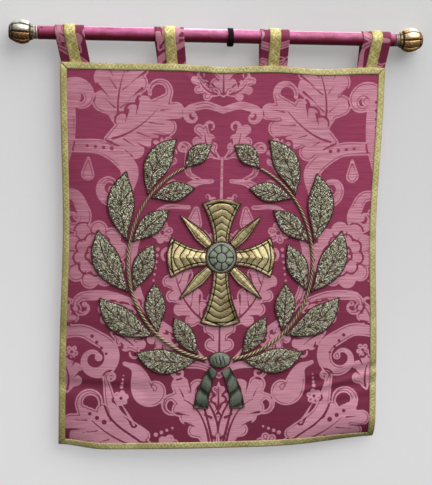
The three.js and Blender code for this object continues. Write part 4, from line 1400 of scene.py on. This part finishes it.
# glass beads: small balls, each a net of four rings of six points closed by flat poles
def addBeads(parts, middles, radius, slot):
    turn = np.arange(6) / 6 * 2 * np.pi
    tilt = np.radians([-62, -24, 24, 62])
    ball = np.stack([np.cos(tilt)[:, None] * np.cos(turn), np.cos(tilt)[:, None] * np.sin(turn),
                     np.repeat(np.sin(tilt)[:, None], 6, axis=1)], axis=-1) * radius
    points = middles[:, None, None, :] + ball[None]
    first = np.arange(len(middles))[:, None] * 24
    net = gridFaces(4, 6, False, True)
    corner, below, beside = ball.reshape(-1, 3)[net[0, [0, 1, 3]]]
    if np.dot(np.cross(below - corner, beside - corner), corner) < 0:
        net = net[:, ::-1]
    low = first + np.arange(6)[::-1]
    high = first + 18 + np.arange(6)
    tint = np.repeat(dice.uniform(0.0, 1.0, len(middles)), 24)
    faces = (first[:, :, None] + net[None]).reshape(-1, 4)
    parts.add(points, faces, None, slot, list(np.concatenate([low, high])), tint=tint)


# a branch is half an ellipse: its point at the angle t from the foot, and the way it runs there
def branchAt(t):
    place = np.array([wreathForm["halfWidth"] * math.sin(t), -wreathForm["halfHeight"] * math.cos(t)])
    heading = math.atan2(wreathForm["halfHeight"] * math.sin(t), wreathForm["halfWidth"] * math.cos(t))
    return place, heading


# the leaves of one branch: a pair at each row, clear of the stem and spread from its run, one at its end
def leafList():
    form = leafForm
    found = []
    for number, row in enumerate(pairRows, 1):
        place, heading = branchAt(row["at"])
        away = np.array([math.sin(heading), -math.cos(heading)])
        for key, side in (("outer", 1), ("inner", -1)):
            long, wide, spread = row[key]
            found.append({"node": f"{key}_{number}", "base": place + side * away * form["clear"],
                          "heading": heading - side * spread, "turn": form[key + "Turn"], "long": long,
                          "wide": wide})
    place, heading = branchAt(wreathForm["end"])
    found.append({"node": "tip", "base": place + 3 * np.array([math.cos(heading), math.sin(heading)]),
                  "heading": heading - form["endSpread"], "turn": form["endTurn"], "long": form["endLong"],
                  "wide": form["endWide"]})
    return found


# a line over a leaf at shares along and across it, lifted off its surface
def overLeaf(place, u, v, lift):
    return onCloth(*place(u, v), leafHeight(u, v) + lift)


# a leaf's trimmings: a cord round its edge, beads along both flanks, a cord along its rib, and barb
# cords that leave the rib and bend out to the edge
def trimLeaf(cords, place, leaf):
    form = leafForm
    layCord(cords, outline(place, 60), form["edgeCord"], 0.3)
    share = np.arange(0.13, 0.93, form["beadStep"] / leaf["long"])
    for flank in (-form["beadRow"], form["beadRow"]):
        addBeads(cords, overLeaf(place, share, np.full(len(share), flank), 1.7), form["bead"], 1)
    ribs = [overLeaf(place, np.linspace(0.02, 0.86, 40), np.zeros(40), 0.9)]
    share = np.linspace(0, 1, 14)
    for start in form["barbs"]:
        for flank in (-1, 1):
            u = start + (0.2 + 0.04 * flank) * share**0.8
            v = flank * (0.04 + 0.88 * share**1.25)
            ribs.append(overLeaf(place, u, v, 0.8))
    for path in ribs:
        path = evenly(path, 1.4)
        outward = np.tile([0.0, -1.0, 0.0], (len(path), 1))
        addCord(cords, path, outward, form["ribCord"], form["ribPitch"], 6)


for sideName, side in (("left", -1), ("right", 1)):
    cords = Parts()
    for leaf in leafList():
        place = leafPlace(leaf, side)
        parts = Parts()
        addPad(parts, place, leafHeight, leafForm["rows"], leafForm["columns"])
        addPurl(parts, place, leaf, 1)
        node = f"leaf_{sideName}_{leaf['node']}"
        piece = parts.make("purl_" + node, [purlGround, purl])
        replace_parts(piece, node)
        trimLeaf(cords, place, leaf)
    cords.make("leafCords" + sideName.capitalize(), [edgeCord, bead])
print("stage 9: wreath leaves")


# the stems: a thick three-strand rope tapering along each branch
def makeStem(sideName, side):
    form = wreathForm
    t = np.linspace(form["start"], form["end"], 260)
    right = side * form["halfWidth"] * np.sin(t)
    up = -form["halfHeight"] * np.cos(t)
    right, up = evenly(np.stack([right, up], axis=1), 1.2).T
    taper = form["rope"] * (1 - 0.35 * np.linspace(0, 1, len(right)))
    path = onCloth(right, up, taper * 0.8)
    normals = clothNormal(right, up)
    parts = Parts()
    addCord(parts, path, normals, taper[:, None] * 0.95, form["pitch"], 14, strands=3, depth=0.14)
    piece = parts.make("stem" + sideName.capitalize(), [stemGold])
    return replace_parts(piece, "stem_" + sideName)


makeStem("left", -1)
makeStem("right", 1)

crossForm = {"up": 6.0, "start": 29.5, "neckHalf": 14.0, "endHalf": 36.0, "bulge": 7.0, "crown": 6.5,
             "edge": 1.8, "lobe": 11.0, "channel": 5.2, "rows": 93, "columns": 49, "cord": 1.5}
armRows = [("right", 0, 92.0), ("top", 1, 98.0), ("left", 2, 92.0), ("bottom", 3, 118.0)]
rayForm = {"start": 31.0, "reach": 106.0, "half": 15.0, "crown": 4.6, "edge": 1.4, "tip": 1.2, "lobes": 9,
           "groove": 0.6, "rows": 51, "columns": 21, "cord": 1.3}


# a place along and beside a line that leaves the cross's middle at an angle
def fromCentre(turn, along, beside):
    return (along * math.cos(turn) - beside * math.sin(turn),
            crossForm["up"] + along * math.sin(turn) + beside * math.cos(turn))


emblemCords = Parts()


# an arm: flares from neck to end, its end bulges, and it rises to a ridge in overlapping rounded lobes,
# with a sunk channel beside each edge
def makeArm(name, quarter, reach):
    form = crossForm
    turn = quarter * math.pi / 2
    long = reach - form["start"]

    def half(u):
        return lerp(form["neckHalf"], form["endHalf"], u**1.9)

    def place(u, v):
        along = lerp(form["start"], reach, u) + form["bulge"] * u**2 * (1 - v**2) - 1.8 * (1 - u) * v**2
        return fromCentre(turn, along, half(u) * v)

    def channel(u, v):
        edge = np.minimum((1 - np.abs(v)) * half(u), (1 - u) * long)
        return np.exp(-((edge - form["channel"]) / 1.1)**2)

    def within(u, v):
        return (u * long / form["lobe"] + np.abs(v) * 0.85 + 0.05 * np.sin(7 * v + 9 * u)) % 1

    def height(u, v):
        ridge = (1 - np.abs(v)) * (0.75 + 0.25 * np.sin(np.pi * u))
        roof = form["edge"] + (form["crown"] - form["edge"]) * ridge
        lobe = 1 - np.sqrt(np.clip(1 - (2 * within(u, v) - 1)**2, 0, 1))
        return roof - 0.9 * channel(u, v) - 1.5 * lobe * ease(6.0, 7.5, (1 - np.abs(v)) * half(u))

    # where painted shade darkens the gold: the channels, the creases between lobes and the edges
    def hollow(u, v):
        crease = np.exp(-(np.minimum(within(u, v), 1 - within(u, v)) / 0.1)**2)
        return np.clip(channel(u, v) + 0.9 * crease + 0.5 * (np.abs(v) > 0.97), 0, 1)
    parts = Parts()
    addPad(parts, place, height, form["rows"], form["columns"], hollow=hollow)
    piece = parts.make("crossArm" + name.capitalize(), [goldRelief])
    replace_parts(piece, "cross_" + name)
    layCord(emblemCords, outline(place, 40, 22), form["cord"], 0.4)


for name, quarter, reach in armRows:
    makeArm(name, quarter, reach)


# a ray: a long point with a sharp ridge in rounded lobes, and a groove along each flank
def makeRay(index):
    form = rayForm
    turn = math.pi / 4 + math.pi / 2 * index

    def place(u, v):
        half = np.maximum(form["tip"], form["half"] * np.minimum(1, (u + 0.35) / 0.7) * (1 - u)**0.8)
        return fromCentre(turn, lerp(form["start"], form["reach"], u) + 0 * v, half * v)

    def groove(v, wide):
        return np.exp(-((np.abs(v) - form["groove"]) / wide)**2)

    def height(u, v):
        roof = form["edge"] + (form["crown"] - form["edge"]) * (1 - np.abs(v)) * (1 - 0.6 * u)
        within = (u * form["lobes"] - 0.5 * np.abs(v)) % 1 * 2 - 1
        lobe = (1 - np.sqrt(np.clip(1 - within**2, 0, 1))) * (np.abs(v) < 0.5)
        return roof - 0.7 * groove(v, 0.07) - 0.7 * lobe

    # where painted shade darkens the gold: the flank grooves
    def hollow(u, v):
        return groove(v, 0.08) + 0 * u
    parts = Parts()
    addPad(parts, place, height, form["rows"], form["columns"], hollow=hollow)
    piece = parts.make(f"ray{index + 1}", [goldRelief])
    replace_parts(piece, f"ray_{index + 1}")
    layCord(emblemCords, outline(place, 40), form["cord"], 0.3)


for index in range(4):
    makeRay(index)


# a dome: a square grid pressed to an ellipse, as high as a ball over it, less its own carved relief
def makeDome(name, node, up, halfWidth, halfHeight, crown, edge, relief, grid=49):
    def place(u, v):
        a = u * 2 - 1
        return halfWidth * a * np.sqrt(1 - v**2 / 2), up + halfHeight * v * np.sqrt(1 - a**2 / 2)

    def height(u, v):
        a = u * 2 - 1
        out = np.clip(a**2 + v**2 - a**2 * v**2, 0, 1)
        return edge + (crown - edge) * np.sqrt(1 - out) - 0.9 * relief(a, v, out)

    # where painted shade darkens the thread: the grooves of its relief
    def hollow(u, v):
        a = u * 2 - 1
        return np.clip(relief(a, v, np.clip(a**2 + v**2, 0, 1)), 0, 1)
    parts = Parts()
    addPad(parts, place, height, grid, grid, hollow=hollow)
    piece = parts.make(name, [darkThread])
    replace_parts(piece, node)
    turn = np.linspace(0, 2 * np.pi, 90, endpoint=False)
    edgeLine = np.stack([halfWidth * np.cos(turn), up + halfHeight * np.sin(turn)], axis=1)
    layCord(emblemCords, edgeLine, 1.4, 0.5)


# grooves between eight petals by their angle, and a ring inside and outside them
def rosette(a, v, out):
    turn = np.arctan2(v, a)
    far = np.sqrt(out)
    petals = (1 - np.abs(np.sin(4 * turn))**0.5) * ease(0.3, 0.45, far) * (1 - ease(0.8, 0.9, far))
    return petals + np.exp(-((far - 0.33) / 0.04)**2) + np.exp(-((far - 0.84) / 0.04)**2)


# slanting turns of thread: a sharpened wave across the knot that fades at its rim
def wraps(a, v, out):
    return (0.5 + 0.5 * np.cos(2 * np.pi * (a * 2.6 + v * 0.5)))**4 * (1 - out)


makeDome("bossPad", "boss", crossForm["up"], 28.0, 28.0, 9.0, 2.2, rosette)
makeDome("knotPad", "knot", -wreathForm["halfHeight"], 19.0, 14.0, 7.0, 2.0, wraps)


ribbonForm = {"heading": 1.02, "turn": 0.5, "long": 76.0, "clear": 21.0, "half": 13.0, "narrow": 0.62,
              "folds": 2.6, "edge": 1.4, "fold": 1.5, "rows": 71, "columns": 21, "cord": 1.2}


# a ribbon's tail: an arc of slowly growing width from beside the knot, rippled along its length
def makeRibbon(sideName, side):
    form = ribbonForm
    first = form["heading"]

    def place(u, v):
        heading = -first - form["turn"] * u
        radius = -form["long"] / form["turn"]
        right = radius * (np.sin(heading) + math.sin(first)) + form["clear"] * math.cos(first)
        up = -radius * (np.cos(heading) - math.cos(first)) - form["clear"] * math.sin(first)
        up = up - wreathForm["halfHeight"]
        half = form["half"] * lerp(form["narrow"], 1, u) * v
        return side * (right - half * np.sin(heading)), up + half * np.cos(heading)

    def folds(u, v):
        return 0.5 + 0.5 * np.cos(2 * np.pi * (u * form["folds"] + v * 0.22))

    def height(u, v):
        return form["edge"] + form["fold"] * folds(u, v) * (1 - 0.3 * v**2)

    # where the thread is painted darker: shade in the folds' troughs, and a line inside each edge
    def hollow(u, v):
        return np.clip(1 - folds(u, v), 0, 1)**2 * 0.7 + 0.5 * np.exp(-((np.abs(v) - 0.8) / 0.06)**2)
    parts = Parts()
    addPad(parts, place, height, form["rows"], form["columns"], hollow=hollow)
    piece = parts.make("ribbon" + sideName.capitalize(), [darkThread])
    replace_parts(piece, "ribbon_" + sideName)
    layCord(emblemCords, outline(place, 40), form["cord"], 0.3)


makeRibbon("left", -1)
makeRibbon("right", 1)
emblemCords.make("emblemCords", [edgeCord])
print("stage 10: emblem")

# the stage, in millimetres
stageForm = {"wallY": 24.5, "floorZ": -1000.0, "half": 5000.0, "wallTop": 3000.0}
# the wall's glow at its lower left, lower right, upper left and upper right, which evens out the lamps
wallGlow = (tone(219, 219, 219), tone(208, 208, 208), tone(183, 183, 183), tone(146, 146, 146))


# two flat squares: the wall between floor and top, and the floor in front of and behind it
def makeStage(spec):
    x = np.array([[-spec["half"], spec["half"]]])
    y = np.array([[spec["half"]], [-spec["half"]]])
    z = np.array([[spec["wallTop"]], [spec["floorZ"]]])
    wall = Parts()
    wall.add(np.stack(np.broadcast_arrays(x, spec["wallY"], z), axis=-1), gridFaces(2, 2))
    floor = Parts()
    floor.add(np.stack(np.broadcast_arrays(x, y, spec["floorZ"]), axis=-1), gridFaces(2, 2))
    wallPaint = wallShade("wallPaint", tone(174, 174, 174), tone(171, 171, 171), wallGlow)
    backdrop = wall.make("backdrop", [wallPaint])
    ground = floor.make("floor", [wallShade("floorPaint", tone(158, 158, 157), tone(148, 148, 147), None)])
    backdrop.visible_shadow = False
    for piece in (backdrop, ground):
        piece.visible_diffuse = False
        piece.visible_glossy = False
        piece.visible_transmission = False


makeStage(stageForm)
# lights: place and aim in metres, size, watts
lightRows = [{"name": "key", "at": (1.2, -1.35, 1.95), "aim": (0, 0, -0.35), "size": 3.0, "watts": 120.0},
             {"name": "fill", "at": (0.5, -2.8, 0.2), "aim": (0, 0, -0.4), "size": 1.8, "watts": 8.0},
             {"name": "rear", "at": (0.4, 1.8, 1.0), "aim": (0, 0, -0.4), "size": 1.4, "watts": 24.0}]


# a square lamp turned to its aim
def makeLight(row):
    data = bpy.data.lights.new(row["name"], "AREA")
    data.size = row["size"]
    data.energy = row["watts"]
    light = bpy.data.objects.new(row["name"], data)
    light.location = row["at"]
    light.rotation_mode = "QUATERNION"
    light.rotation_quaternion = (Vector(row["aim"]) - Vector(row["at"])).to_track_quat("-Z", "Y")
    bpy.context.collection.objects.link(light)


for row in lightRows:
    makeLight(row)


skyForm = {"below": 0.015, "level": 0.27, "overhead": 0.95, "seen": 0.66, "strength": 1.0}


# a soft sky: grey by height, dim below and bright overhead; the camera itself sees an even pale grey
def makeWorld(spec):
    sky = Shade(bpy.data.worlds.new("studio"), "Background", Strength=spec["strength"])
    height = sky.axes(sky.node("ShaderNodeTexCoord", output="Generated"))[2]
    share = sky.node("ShaderNodeMapRange", {}, {0: height, 1: -1.0})
    stops = ((0.0, spec["below"]), (0.5, spec["level"]), (1.0, spec["overhead"]))
    grey = sky.node("ShaderNodeValToRGB", {"stops": stops}, {0: share})
    seen = sky.node("ShaderNodeLightPath", output="Is Camera Ray")
    sky.put(Color=sky.mix(seen, grey, (spec["seen"],) * 3))
    bpy.context.scene.world = sky.owner


makeWorld(skyForm)
bpy.context.scene.view_settings.view_transform = "Standard"
print("stage 11: stage and light")
